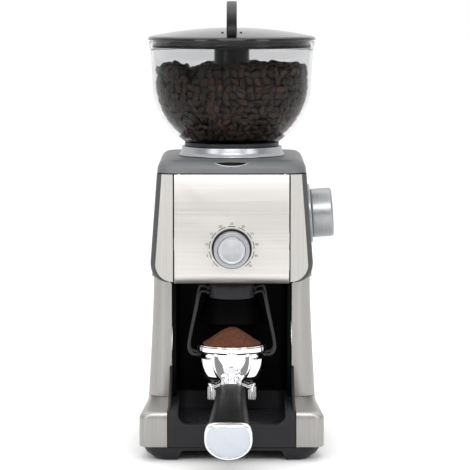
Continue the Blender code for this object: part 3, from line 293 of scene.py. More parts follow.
# %% Small tools for building node graphs
def new_finish(name, colour, roughness, metallic=0.0):
    """A Principled finish with its plain values on the shader's own sockets."""
    finish = bpy.data.materials.new(name)
    finish.use_nodes = True
    shader = finish.node_tree.nodes["Principled BSDF"]
    shader.inputs["Base Color"].default_value = (*colour, 1.0)
    shader.inputs["Roughness"].default_value = roughness
    shader.inputs["Metallic"].default_value = metallic
    return finish, finish.node_tree, shader


def add(tree, kind, **values):
    """A node with its inputs set by name, with spaces written as underscores."""
    node = tree.nodes.new(kind)
    for name, value in values.items():
        label = name.replace("_", " ")
        if label in node.inputs:
            node.inputs[label].default_value = value
        else:
            setattr(node, name, value)
    return node


def place(tree, scale, turn=(0, 0, 0), shift=(0, 0, 0)):
    """Object coordinates, stretched; returns the socket that holds them."""
    where = tree.nodes.new("ShaderNodeTexCoord")
    mapping = add(tree, "ShaderNodeMapping", Scale=scale, Rotation=turn, Location=shift)
    tree.links.new(where.outputs["Object"], mapping.inputs["Vector"])
    return mapping.outputs["Vector"]


def grain(tree, vector, scale=1.0, detail=3.0, roughness=0.55):
    texture = add(tree, "ShaderNodeTexNoise", Scale=scale, Detail=detail, Roughness=roughness)
    tree.links.new(vector, texture.inputs["Vector"])
    return texture.outputs["Fac"]


def spread(tree, value, low, high, start=0.3, end=0.7):
    """Maps a texture's middle range onto low to high."""
    change = add(tree, "ShaderNodeMapRange", From_Min=start, From_Max=end, To_Min=low, To_Max=high)
    tree.links.new(value, change.inputs["Value"])
    return change.outputs["Result"]


def tint(tree, value, stops):
    """Colours along a value, as (position, colour) pairs."""
    ramp = tree.nodes.new("ShaderNodeValToRGB")
    while len(ramp.color_ramp.elements) < len(stops):
        ramp.color_ramp.elements.new(0.5)
    for element, (position, colour) in zip(ramp.color_ramp.elements, stops):
        element.position, element.color = position, (*colour, 1.0)
    tree.links.new(value, ramp.inputs["Fac"])
    return ramp.outputs["Color"]


def relief(tree, shader, height, distance, strength=1.0):
    bump = add(tree, "ShaderNodeBump", Strength=strength, Distance=distance)
    tree.links.new(height, bump.inputs["Height"])
    tree.links.new(bump.outputs["Normal"], shader.inputs["Normal"])


def mixed(tree, a, b, share=0.5):
    """Weighted sum of two grey values."""
    node = add(tree, "ShaderNodeMix")
    node.inputs["Factor"].default_value = share
    tree.links.new(a, node.inputs["A"])
    tree.links.new(b, node.inputs["B"])
    return node.outputs["Result"]


print("graph tools ready")

# %% [markdown]
# ### Brushed steel
# The sheet is drawn under an abrasive belt, so its scratches are all parallel and very long. Noise stretched
# over a hundred times along the belt's direction gives both the fine lines and the slow change of shade
# between bands of them.

# %% Brushed steel, along X on the head and along Z on the legs
def brushed(name, along, light, dark, rough=(0.36, 0.46)):
    finish, tree, shader = new_finish(name, light, rough[0], 1.0)
    fine = tuple(14.0 if a == along else 2600.0 for a in "xyz")
    wide = tuple(5.0 if a == along else 620.0 for a in "xyz")
    hairs = grain(tree, place(tree, fine), detail=4.0, roughness=0.65)
    bands = grain(tree, place(tree, wide), detail=3.0)
    both = mixed(tree, hairs, bands, 0.45)
    tree.links.new(tint(tree, both, [(0.36, dark), (0.62, light)]), shader.inputs["Base Color"])
    tree.links.new(spread(tree, both, *rough), shader.inputs["Roughness"])
    shader.inputs["Anisotropic"].default_value = 0.35
    relief(tree, shader, hairs, 0.00002, 0.5)
    return finish


# These three are one brushed steel in three lightnesses, which is painted light and shade: the front panel's
# copy is lightest, the side strips' copy is darker, and the copy on the legs and foot covers is darkest, as
# painted shade.
PANEL_STEEL = brushed("panel_steel", "x", (0.68, 0.66, 0.635), (0.60, 0.58, 0.56))
SHADED_LEG_STEEL = brushed("leg_steel_painted_shade", "z", (0.41, 0.398, 0.38), (0.34, 0.33, 0.317))
SHADED_STRIP_STEEL = brushed("strip_steel_painted_shade", "z", (0.50, 0.487, 0.468), (0.43, 0.418, 0.402))
print("steel finishes:", PANEL_STEEL.name, SHADED_LEG_STEEL.name, SHADED_STRIP_STEEL.name)

# %% [markdown]
# ### Turned aluminium
# A knob is faced on a lathe, so its lines are rings about its own axis. Distance from that axis is the only
# coordinate that the texture needs. On the disc in the dial the same rings make the light fan out in two
# bright wedges, which is what the anisotropy with a radial tangent does.

# %% Turned metal about any axis through a point
def turned_metal(name, centre, across, colour, rough, fan=None, pitch=5200.0):
    """across marks the directions that count as radius, such as (1, 0, 1) for an axis along Y."""
    finish, tree, shader = new_finish(name, colour, rough, 1.0)
    spot = place(tree, across, shift=tuple(-c * a for c, a in zip(centre, across)))
    reach = add(tree, "ShaderNodeVectorMath", operation="LENGTH")
    tree.links.new(spot, reach.inputs[0])
    rings = add(tree, "ShaderNodeTexNoise", noise_dimensions="1D", Scale=pitch, Detail=3.0)
    tree.links.new(reach.outputs["Value"], rings.inputs["W"])
    lines = rings.outputs["Fac"]
    darker = tuple(0.86 * c for c in colour)
    tree.links.new(tint(tree, lines, [(0.35, darker), (0.6, colour)]), shader.inputs["Base Color"])
    tree.links.new(spread(tree, lines, rough - 0.05, rough + 0.07), shader.inputs["Roughness"])
    relief(tree, shader, lines, 0.00002, 0.35)
    if fan:
        shader.inputs["Anisotropic"].default_value = 0.75
        tangent = add(tree, "ShaderNodeTangent", direction_type="RADIAL", axis=fan)
        tree.links.new(tangent.outputs["Tangent"], shader.inputs["Tangent"])
    return finish


KNOB_Z = (edge("grind_knob", LOW, "z") + edge("grind_knob", HIGH, "z")) / 2
DIAL_Z = (edge("timer_knob", LOW, "z") + edge("timer_knob", HIGH, "z")) / 2
DIAL_METAL = turned_metal("dial_metal", (0, 0, DIAL_Z), (1, 0, 1), (0.40, 0.41, 0.43), 0.32)
DISC_METAL = turned_metal("disc_metal", (0, 0, DIAL_Z), (1, 0, 1), (0.50, 0.51, 0.53), 0.28,
                          fan="Y")
KNOB_METAL = turned_metal("knob_metal", (0, 0, KNOB_Z), (0, 1, 1), (0.36, 0.37, 0.38), 0.36)
COLLAR_METAL = turned_metal("collar_metal", (0, 0, 0), (0, 0, 1), (0.42, 0.43, 0.45), 0.33,
                            pitch=3600.0)
print("turned finishes centred at z", round(1000 * DIAL_Z, 1), "and", round(1000 * KNOB_Z, 1), "mm")

# %% [markdown]
# ### Chrome, cast and ground steel
# Polished chrome is almost a mirror. A perfect mirror looks computed, so a very faint long-wave ripple and a
# trace of haze are added, as buffing leaves them.

# %% Chrome and the grinder's own steels
def polished(name, colour, rough, ripple):
    finish, tree, shader = new_finish(name, colour, rough, 1.0)
    haze = grain(tree, place(tree, (60, 60, 60)), detail=4.0)
    tree.links.new(spread(tree, haze, rough * 0.7, rough * 1.7), shader.inputs["Roughness"])
    relief(tree, shader, haze, ripple, 0.4)
    return finish


CHROME = polished("polished_chrome", (0.90, 0.90, 0.91), 0.05, 0.0002)
CAP_FACE = polished("satin_chrome", (0.56, 0.59, 0.64), 0.28, 0.00003)


def ground_steel(name, colour, rough):
    finish, tree, shader = new_finish(name, colour, rough, 1.0)
    marks = grain(tree, place(tree, (260, 260, 1400)), detail=5.0, roughness=0.7)
    darker = tuple(0.78 * c for c in colour)
    tree.links.new(tint(tree, marks, [(0.35, darker), (0.62, colour)]), shader.inputs["Base Color"])
    tree.links.new(spread(tree, marks, rough - 0.08, rough + 0.12), shader.inputs["Roughness"])
    relief(tree, shader, marks, 0.00004, 0.5)
    return finish


BURR_STEEL = ground_steel("burr_steel", (0.40, 0.40, 0.41), 0.32)
CAST_METAL = ground_steel("cast_alloy", (0.46, 0.46, 0.47), 0.45)
print("chrome and steels ready")

# %% [markdown]
# ### Moulded plastic
# A mould's cavity is spark-eroded, which leaves a fine even grain on every matt moulding. Two scales of it
# are enough: the grain itself, about a third of a millimetre across, and a slow drift of shade, because
# grain never wears or cools evenly. `gleam` is how strongly the surface mirrors what stands round it. It is
# kept below a real plastic's, because the studio is white and would turn every black moulding grey.

# %% Matt and gloss mouldings
def moulded(name, colour, rough, grain_size=0.0003, depth=0.00002, coat=0.0, gleam=0.22):
    finish, tree, shader = new_finish(name, colour, rough)
    shader.inputs["Specular IOR Level"].default_value = gleam
    pores = grain(tree, place(tree, (1 / grain_size,) * 3), detail=2.0)
    drift = grain(tree, place(tree, (28, 28, 28)), detail=3.0)
    lighter = tuple(1.18 * c for c in colour)
    tree.links.new(tint(tree, drift, [(0.35, colour), (0.65, lighter)]), shader.inputs["Base Color"])
    tree.links.new(spread(tree, mixed(tree, pores, drift, 0.5), rough - 0.05, rough + 0.08),
                   shader.inputs["Roughness"])
    shader.inputs["Coat Weight"].default_value = coat
    shader.inputs["Coat Roughness"].default_value = 0.06
    relief(tree, shader, pores, depth, 0.45)
    return finish


BLACK = moulded("black_moulding", (0.017, 0.0165, 0.019), 0.40)
# The bay's moulding is the black moulding made darker still: its near-black colour is painted shade for the
# recess under the head, and it is used on the bay's walls, the chute's shroud and the head's floor.
SHADED_BAY_BLACK = moulded("bay_moulding_painted_shade", (0.0010, 0.0010, 0.0013), 0.55, gleam=0.06)
GRIP_BLACK = moulded("grip_moulding", (0.0022, 0.0022, 0.0024), 0.36, 0.0004)
GREY = moulded("grey_moulding", (0.115, 0.118, 0.122), 0.42, gleam=0.35)
DARK = moulded("dark_cover_moulding", (0.050, 0.051, 0.053), 0.42, gleam=0.35)
GLOSS = moulded("gloss_moulding", (0.008, 0.008, 0.009), 0.16, 0.0009, 0.000005, 0.45)
SPINDLE = moulded("spindle_moulding", (0.005, 0.005, 0.008), 0.28, 0.0006, 0.000008, 0.1)
NYLON = moulded("nylon_moulding", (0.68, 0.65, 0.56), 0.50)
BOARD = moulded("fibreglass_board", (0.025, 0.14, 0.06), 0.45, 0.0008)
RUBBER = moulded("moulded_rubber", (0.018, 0.018, 0.019), 0.72, 0.0005, 0.00005)
WIRE_STEEL = moulded("coated_wire", (0.016, 0.016, 0.017), 0.34, 0.0004, gleam=0.35)
INK = moulded("printed_ink", (0.012, 0.012, 0.013), 0.60)

# %% [markdown]
# ### Clear plastic
# The hopper is a clear moulding 2.5 mm thick. Because its mesh has both an inner and an outer surface, real
# refraction can be used: the wall's edges then turn grey and bright by themselves, as moulded plastic does.
# Its index is set well below a real plastic's 1.5, for the same reason that `gleam` is low. Its colour is a
# grey well below a clear moulding's, painted shade that darkens the walls, and a slow ripple keeps it from
# looking like cut glass.

# %% Clear plastic with real refraction
def clear_plastic():
    finish, tree, shader = new_finish("clear_moulding", (0.95, 0.955, 0.965), 0.02)
    shader.inputs["Transmission Weight"].default_value = 1.0
    shader.inputs["IOR"].default_value = 1.13
    shader.inputs["Specular IOR Level"].default_value = 0.25
    flow = grain(tree, place(tree, (16, 16, 40)), detail=2.0)
    # The grey of these stops is painted shade: it darkens the walls, their edges and all that is seen through
    # them.
    tree.links.new(tint(tree, flow, [(0.3, (0.73, 0.735, 0.74)), (0.7, (0.78, 0.78, 0.785))]),
                   shader.inputs["Base Color"])
    relief(tree, shader, flow, 0.0001, 0.1)
    return finish


CLEAR = clear_plastic()
print("clear plastic ready")

# %% [markdown]
# ### Coffee
# A dark roast is nearly black in the crease and a warm brown on its shoulders, with a thin film of oil. Each
# bean carries its own shade in a mesh attribute, so no two neighbours match. Ground coffee is much redder
# and has no film at all.

# %% Roasted beans and ground coffee
def roasted_beans():
    finish, tree, shader = new_finish("roasted_bean_skin", (0.035, 0.016, 0.010), 0.38)
    shade = add(tree, "ShaderNodeAttribute", attribute_name="roast")
    mottle = grain(tree, place(tree, (900, 900, 900)), detail=4.0)
    both = mixed(tree, shade.outputs["Fac"], mottle, 0.35)
    colours = [(0.20, (0.0022, 0.0012, 0.0009)), (0.50, (0.0130, 0.0058, 0.0039)),
               (0.80, (0.050, 0.0205, 0.0120))]
    tree.links.new(tint(tree, both, colours), shader.inputs["Base Color"])
    tree.links.new(spread(tree, mottle, 0.30, 0.52), shader.inputs["Roughness"])
    shader.inputs["Specular IOR Level"].default_value = 0.22
    shader.inputs["Coat Weight"].default_value = 0.10
    shader.inputs["Coat Roughness"].default_value = 0.25
    relief(tree, shader, mottle, 0.0001, 0.5)
    return finish


def ground_coffee():
    finish, tree, shader = new_finish("ground_coffee_bed", (0.11, 0.035, 0.015), 0.92)
    crumbs = add(tree, "ShaderNodeTexVoronoi", Scale=1.0, feature="F1")
    tree.links.new(place(tree, (1900, 1900, 1900)), crumbs.inputs["Vector"])
    clumps = grain(tree, place(tree, (420, 420, 420)), detail=5.0, roughness=0.7)
    both = mixed(tree, crumbs.outputs["Distance"], clumps, 0.55)
    colours = [(0.25, (0.045, 0.014, 0.008)), (0.50, (0.125, 0.040, 0.019)), (0.75, (0.23, 0.080, 0.040))]
    tree.links.new(tint(tree, both, colours), shader.inputs["Base Color"])
    relief(tree, shader, both, 0.0004, 0.8)
    return finish


BEANS = roasted_beans()
GROUNDS = ground_coffee()

# %% [markdown]
# ## The base
# The machine stands on a dark moulded plinth that tapers in towards the table, so that it seems to float on a
# shadow. At the front it is relieved by a shallow arch, where fingers lift the edge. The plinth is lofted
# from rounded rectangles, hollowed from below and cut by the arch's outline.

# %% Plinth with its arch
def plinth_ring(z, inset, wall=0.0):
    front, back = BASE_FRONT + 0.002 + 0.5 * inset + wall, BASE_BACK - 0.002 - 0.5 * inset - wall
    return at_height(rounded(PLINTH_HALF_W - inset - wall, front, back, 0.014 - wall), z)


def make_plinth():
    taper, wall = 0.010, 0.003
    levels = [(PLINTH_LOW, taper + 0.0008), (PLINTH_LOW + 0.0008, taper - 0.0002), (0.0060, 0.0042),
              (0.0085, 0.0022), (PLINTH_TOP - 0.0006, 0.0002), (PLINTH_TOP, 0.0008)]
    plinth = lofted("base_plinth_moulding", [plinth_ring(z, inset) for z, inset in levels], BLACK, "housing",
                    ["base_plinth"])
    room = [(-0.01, taper), (0.0, taper), (PLINTH_TOP - wall, wall)]
    carve(plinth, lofted("plinth_room", [plinth_ring(z, inset, wall) for z, inset in room], BLACK, "housing"))
    arch_w, top, flare = BASE_HALF_W - 0.0385, PLINTH_TOP - 0.0035, 0.006
    arch = eased([(-arch_w - flare - 0.003, -0.01), (arch_w + flare + 0.003, -0.01), (arch_w, top),
                  (-arch_w, top)], 0.0025)
    carve(plinth, slab("arch_tool", arch, BASE_FRONT - 0.01, BASE_FRONT + 0.014, BLACK, "housing", axis="Y"))
    return bevelled(plinth, 0.0003, 2)


plinth = make_plinth()
print("plinth:", len(plinth.data.polygons), "faces")

# %% [markdown]
# Below, a flat cover closes the works, held by four screws, and four rubber feet with a dished sole carry the
# weight. Nobody sees them until the machine is tipped.

# %% Underside cover, screws and feet
def cross_screw(name, at, radius, axis, body):
    """Pan-head screw with a cross recess, standing on a point with its head along the axis."""
    head = [(0, 0.45), (0.55, 0.40), (0.85, 0.22), (1.0, 0.0), (1.0, -0.25), (0, -0.25)]
    profile = [(radius * r, radius * h) for r, h in head]
    screw = spun(name, profile, BURR_STEEL, body, segments=28, at=at, axis=axis)
    turn = Vector((0, 0, 1)).rotation_difference(Vector(axis)).to_matrix()
    for angle in (0, 90):
        half, thin = 0.55 * radius, 0.11 * radius
        side = Matrix.Rotation(math.radians(angle), 3, "Z")
        corners = [(-half, -thin), (half, -thin), (half, thin), (-half, thin)]
        rings = [[Vector(at) + turn @ (side @ Vector((x, y, z * radius))) for x, y in corners]
                 for z in (0.12, 0.8)]
        carve(screw, lofted("screw_slot", rings, BURR_STEEL, body))
    return screw


def make_underside():
    low, high = BOX["underside_cover"]
    outline = rounded(high.x, low.y, high.y, 0.010)
    cover = slab("underside_plate", outline, low.z, high.z, BLACK, "housing", ["underside_cover"])
    bevelled(cover, 0.0004, 2)
    for i, (x, y) in enumerate(((-0.045, -0.045), (0.045, -0.045), (-0.045, 0.055), (0.045, 0.055))):
        cross_screw("underside_screw_%d" % i, (x, y, low.z), 0.0024, (0, 0, -1), "housing")
    for place_word in ("front_left", "front_right", "rear_left", "rear_right"):
        node = "rubber_foot_" + place_word
        (x0, y0, z0), (x1, y1, z1) = BOX[node]
        r = (x1 - x0) / 2
        profile = eased([(0, z1), (r, z1), (r, z0), (r - 0.0016, z0), (r - 0.0022, z0 + 0.0008),
                         (0, z0 + 0.0008)], 0.0005, 3)
        spun(node + "_sole", profile, RUBBER, "housing", [node], 48, ((x0 + x1) / 2, (y0 + y1) / 2, 0))


make_underside()
print("underside closed with 4 screws, on 4 feet")

# %% [markdown]
# ## Foot covers and legs
# A pressed steel cover wraps each foot, flat and upright at the front, rolled over along its top edge. Above
# it rises the leg, one sheet bent round the column: it widens as it comes down, fast near the foot, which
# gives the machine its stance. Both are drawn as an open line, given a sheet's wall and lofted upwards.

# %% Foot covers
def foot_ring(side, z, drop, wall=0.0):
    """drop is how far the rolled top edge has come in from the side."""
    inner, corner = BAY_HALF_W + 0.0027, 0.009
    front, back = BASE_FRONT + 0.4 * drop + wall, BASE_BACK - 0.4 * drop - wall
    wide, narrow = BASE_HALF_W - drop - wall, COLUMN_HALF_W + 0.001 - 0.6 * drop - wall
    path = [(inner + wall, front)]
    path += arc(wide - corner, front + corner, corner, corner, -90, 0, 14)
    path += [(narrow, COLUMN_FRONT)]
    path += arc(narrow - corner, back - corner, corner, corner, 0, 90, 10)
    path += [(inner + wall, back)]
    return at_height(mirrored(path, side), z)


def make_foot_cover(side, word):
    low, roll, reach = PLINTH_TOP + GAP, 0.0070, 0.0075
    levels = [(low, 0.0003), (low + 0.0004, 0.0)]
    levels += [(FOOT_TOP - roll + roll * math.sin(math.radians(a)), reach * (1 - math.cos(math.radians(a))))
               for a in range(0, 91, 9)]
    rings = [foot_ring(side, z, drop) for z, drop in levels]
    cover = lofted("foot_shell_" + word, rings, SHADED_LEG_STEEL, "housing", ["foot_cover_" + word], 38)
    hollow = [(low - 0.01, 0), (FOOT_TOP - 0.0080, 0), (FOOT_TOP - 0.0036, 0.0022),
              (FOOT_TOP - 0.0020, 0.0060)]
    tool = lofted("foot_room", [foot_ring(side, z, drop, 0.0015) for z, drop in hollow], SHADED_LEG_STEEL, "housing")
    return carve(cover, tool)


for side, word in SIDES:
    made = make_foot_cover(side, word)
    print(made.name, len(made.data.polygons), "faces")

# %% Legs
def leg_half_w(z):
    top = FOOT_TOP + 0.83 * (SHOULDER_Z - FOOT_TOP)
    share = max(0.0, (top - z) / (top - FOOT_TOP))
    return NECK_HALF_W + (COLUMN_HALF_W - NECK_HALF_W) * share ** 1.3


CORNER_R = 0.017


def leg_ring(side, z):
    wide, start = leg_half_w(z), BAY_HALF_W + 0.0045
    path = [(BAY_HALF_W + GAP, COLUMN_FRONT), (BAY_HALF_W + 0.003, COLUMN_FRONT)]
    path += arc(start, COLUMN_FRONT + 0.020, wide - start, 0.020, -84, 0, 20)
    path += arc(wide - CORNER_R, BASE_BACK - CORNER_R, CORNER_R, CORNER_R, 0, 90, 12)
    return at_height(mirrored(thicken(path, 0.0015), side), z)


def make_leg(side, word):
    low = FOOT_TOP + GAP
    heights = [low + (SHOULDER_Z - low) * i / 24 for i in range(25)]
    return lofted("leg_sheet_" + word, [leg_ring(side, z) for z in heights], SHADED_LEG_STEEL, "housing",
                  ["leg_panel_" + word], 40)


for side, word in SIDES:
    made = make_leg(side, word)
    print(made.name, "is", round(1000 * (SHOULDER_Z - FOOT_TOP)), "mm tall")

# %% [markdown]
# ## The back
# The rear of the column is one flat black moulding with seven ventilation slots for the motor, a cord gland
# low down and four screws. The slots are real openings, so they stay dark at any angle.

# %% Back cover
def wall_half_w(z):
    share = (z - SHOULDER_Z) / (HEAD_TOP - SHOULDER_Z)
    return HEAD_HALF_W + (HEAD_TOP_HALF_W - HEAD_HALF_W) * max(0.0, share)


def make_back():
    wide, inset = BAY_HALF_W + 0.0022, CORNER_R + 3 * GAP
    low, high = PLINTH_TOP + GAP, HEAD_TOP - GAP
    heights = [FOOT_TOP + share * (SHOULDER_Z - FOOT_TOP) for share in (0.003, 0.12, 0.29, 0.51, 0.83, 1.0)]
    side = [(wide, low), (wide, FOOT_TOP - GAP)] + [(leg_half_w(z) - inset, z) for z in heights]
    side += [(wall_half_w(SHOULDER_Z) - inset, SHOULDER_Z + GAP), (wall_half_w(high) - inset, high)]
    outline = side + [(-x, z) for x, z in side[::-1]]
    cover = slab("back_panel", outline, BASE_BACK - 0.0025, BASE_BACK, BLACK, "housing", ["back_cover"], "Y")
    for i in range(7):
        z = FOOT_TOP + 0.0245 + 0.010 * i
        slot = arc(0.028, z, 0.0018, 0.0018, -90, 90, 8) + arc(-0.028, z, 0.0018, 0.0018, 90, 270, 8)
        carve(cover, slab("vent_tool", slot, BASE_BACK - 0.01, BASE_BACK + 0.01, BLACK, "housing", axis="Y"))
    bevelled(cover, 0.0004, 2)
    gland_at = (0.034, BASE_BACK, PLINTH_TOP + 0.017)
    gland = [(0.0033, -0.001), (0.0095, -0.001), (0.0095, 0.0006), (0.0085, 0.0025), (0.0066, 0.0050),
             (0.0050, 0.007), (0.0033, 0.007)]
    spun("cord_gland_collar", eased(gland, 0.0005, 3), BLACK, "housing", (), 48, gland_at, (0, 1, 0))
    for i, (x, z) in enumerate(((-0.044, FOOT_TOP + 0.008), (0.044, FOOT_TOP + 0.008),
                                (-0.044, HEAD_TOP - 0.012), (0.044, HEAD_TOP - 0.012))):
        cross_screw("back_screw_%d" % i, (x, BASE_BACK, z), 0.0026, (0, 1, 0), "housing")


make_back()
print("back panel with 7 slots, a gland and 4 screws")

# %% [markdown]
# ## The bay and the drip tray
# Between the legs is a black bay. Its walls are plain, because a barista wipes them down. At the front two
# low side walls curve down to the tray, and between them the tray lies as a drawer: a raised rim, a dished
# front lip and two round rings in the floor that centre a cup.

# %% Bay liner with the chute's shroud
def make_bay():
    outer, inner = BAY_HALF_W - GAP, BAY_HALF_W - 0.004
    low, top = BOX["bay_liner"][LOW].z, BOX["bay_liner"][HIGH].z
    front, tray_side = COLUMN_FRONT + GAP, edge("drip_tray", HIGH, "z")
    outline = [(-outer, front), (-inner, front), (-inner, BAY_BACK - 0.008)]
    outline += arc(-inner + 0.008, BAY_BACK - 0.008, 0.008, 0.008, 180, 90, 10)
    outline += arc(inner - 0.008, BAY_BACK - 0.008, 0.008, 0.008, 90, 0, 10)
    outline += [(inner, front), (outer, front), (outer, BAY_BACK + 0.003), (-outer, BAY_BACK + 0.003)]
    liner = slab("bay_wall", outline, tray_side + 0.001, top, SHADED_BAY_BLACK, "housing", ["bay_liner"])
    bevelled(liner, 0.0005, 2)
    lower = [(-outer, BAY_BACK - 0.001), (outer, BAY_BACK - 0.001), (outer, BAY_BACK + 0.003),
             (-outer, BAY_BACK + 0.003)]
    slab("bay_wall_foot", lower, low, tray_side + 0.0012, SHADED_BAY_BLACK, "housing")
    shroud_low, shroud_high = edge("portafilter_body", HIGH, "z") + 0.015, top - 0.0006
    profile = [(0, shroud_high), (0.020, shroud_high), (0.0235, shroud_high - 0.014),
               (0.0295, shroud_low + 0.006), (0.031, shroud_low), (0, shroud_low)]
    shroud = spun("chute_shroud", eased(profile, 0.004, 6), SHADED_BAY_BLACK, "housing", (), 72,
                  (0, BAY_BACK - 0.006, 0))
    behind = [(-0.05, BAY_BACK + 0.0015), (0.05, BAY_BACK + 0.0015), (0.05, BAY_BACK + 0.05),
              (-0.05, BAY_BACK + 0.05)]
    carve(shroud, slab("shroud_tool", behind, shroud_low - 0.01, top + 0.01, SHADED_BAY_BLACK, "housing"))


make_bay()
print("bay", round(2000 * (BAY_HALF_W - 0.004)), "mm wide inside")

# %% Side walls of the bay, swept down to the tray
def make_bay_side(side, word):
    low, tray_side = PLINTH_TOP + GAP, edge("drip_tray", HIGH, "z")
    rear = COLUMN_FRONT - GAP
    crest = [(rear, FOOT_TOP + 0.0300), (rear - 0.008, FOOT_TOP + 0.0245), (rear - 0.030, FOOT_TOP + 0.0135),
             (rear - 0.060, FOOT_TOP + 0.0045), (BASE_FRONT + 0.0004, tray_side + 0.0008)]
    outline = [(BASE_FRONT + 0.0004, low), (rear, low)]
    outline += [tuple(p) for p in smooth_path([Vector(p) for p in crest], 6)]
    x = sorted((side * (BAY_HALF_W - 0.0004), side * (BAY_HALF_W + 0.0023)))
    wall = slab("bay_cheek_" + word, outline, x[0], x[1], BLACK, "housing", ["bay_side_" + word], "X")
    return bevelled(wall, 0.0006, 3)


for side, word in SIDES:
    print(make_bay_side(side, word).name, "made")

# %% Drip tray
def make_tray():
    (_, front, low), (wide, back, top) = BOX["drip_tray"]
    inner, floor, lip = BAY_HALF_W - 0.0070, PLINTH_TOP + 0.0165, PLINTH_TOP + 0.021
    tray = slab("drip_tray_drawer", rounded(wide, front, back, 0.002, 6), low, top, BLACK, "drip_tray",
                ["drip_tray"])
    well = rounded(inner, front + 0.0045, back - 0.003, 0.010)
    carve(tray, slab("well_tool", well, floor, top + 0.01, BLACK, "drip_tray"))
    r = 0.009
    mouth = [(inner, top + 0.03), (-inner, top + 0.03)] + arc(-inner + r, lip + r, r, r, 180, 270, 12)
    mouth += arc(inner - r, lip + r, r, r, 270, 360, 12)
    carve(tray, slab("mouth_tool", mouth, front - 0.01, front + 0.012, BLACK, "drip_tray", axis="Y"))
    under = rounded(wide - 0.003, front + 0.003, back - 0.003, 0.004, 6)
    carve(tray, slab("under_tool", under, low - 0.01, floor - 0.0025, BLACK, "drip_tray"))
    bevelled(tray, 0.0006, 3)
    centre = (0, (front + back) / 2 - 0.002, floor)
    for name, ring_r in (("tray_ring_outer", 0.0440), ("tray_ring_inner", 0.0330)):
        bead = arc(ring_r, 0.0, 0.0007, 0.0007, 0, 180, 8)
        bead += [(ring_r - 0.0007, -0.0003), (ring_r + 0.0007, -0.0003)]
        spun(name, bead, BLACK, "drip_tray", (), 96, centre)
    frame_w, edge_low, edge_top = wide - 0.0045, low + 0.0028, lip - 0.0035
    groove = [(-frame_w, edge_low), (frame_w, edge_low), (frame_w, edge_top), (-frame_w, edge_top)]
    face = eased(groove, 0.0022, 6)
    slab("tray_front_panel", face, front - 0.00035, front + 0.001, BLACK, "drip_tray", axis="Y")


make_tray()
print("tray", round(2000 * edge("drip_tray", HIGH, "x")), "mm wide")

# %% [markdown]
# ## The head
# The head is a box in disguise: a flat brushed panel in the middle of the front, a narrow steel strip on each
# side of it, and dark moulded covers that wrap round to the back. The panel's lower edge is rolled under, so
# the light breaks along it. It is drawn as a section and pulled across.

# %% Front panel with its rolled edge and the dial's hole
def front_plane(x):
    """Flat across the middle panel, then leaning back beside it."""
    return HEAD_FRONT + 0.30 * max(0.0, abs(x) - PANEL_HALF_W)


def make_front_panel():
    top, roll = HEAD_TOP - GAP, 0.0095
    path = arc(HEAD_FRONT + roll, HEAD_BOTTOM + roll, roll, roll, 270, 180, 20)
    path += [(HEAD_FRONT, HEAD_BOTTOM + 0.03), (HEAD_FRONT, top - 0.0015), (HEAD_FRONT + 0.0006, top)]
    panel = slab("front_steel_panel", thicken(path[::-1], 0.0012), -PANEL_HALF_W, PANEL_HALF_W, PANEL_STEEL,
                 "housing", ["front_panel"], "X")
    hole_r = edge("timer_knob", HIGH, "x") + 0.0016
    drilled(panel, hole_r, 0.01, -0.01, PANEL_STEEL, 128, (0, HEAD_FRONT, DIAL_Z), (0, -1, 0))
    return bevelled(panel, 0.00035, 3)


front_panel = make_front_panel()
print("front panel:", len(front_panel.data.polygons), "faces")

# %% Side strips
def make_side_strip(side, word):
    inner, top, low = PANEL_HALF_W + 0.0012, HEAD_TOP - GAP, HEAD_BOTTOM + 0.0022
    wide_low, wide_top, r = HEAD_HALF_W - 0.0045, HEAD_TOP_HALF_W - 0.0045, 0.0155
    outline = [(inner, top), (inner, low)] + arc(wide_low - r, low + r, r, r, -85, 0, 20) + [(wide_top, top)]
    rings = [[(side * x, front_plane(x) + depth, z) for x, z in outline] for depth in (0.0, 0.0012)]
    strip = lofted("steel_strip_" + word, rings, SHADED_STRIP_STEEL, "housing", ["side_strip_" + word])
    return bevelled(strip, 0.0004, 3)


for side, word in SIDES:
    print(make_side_strip(side, word).name, "made")

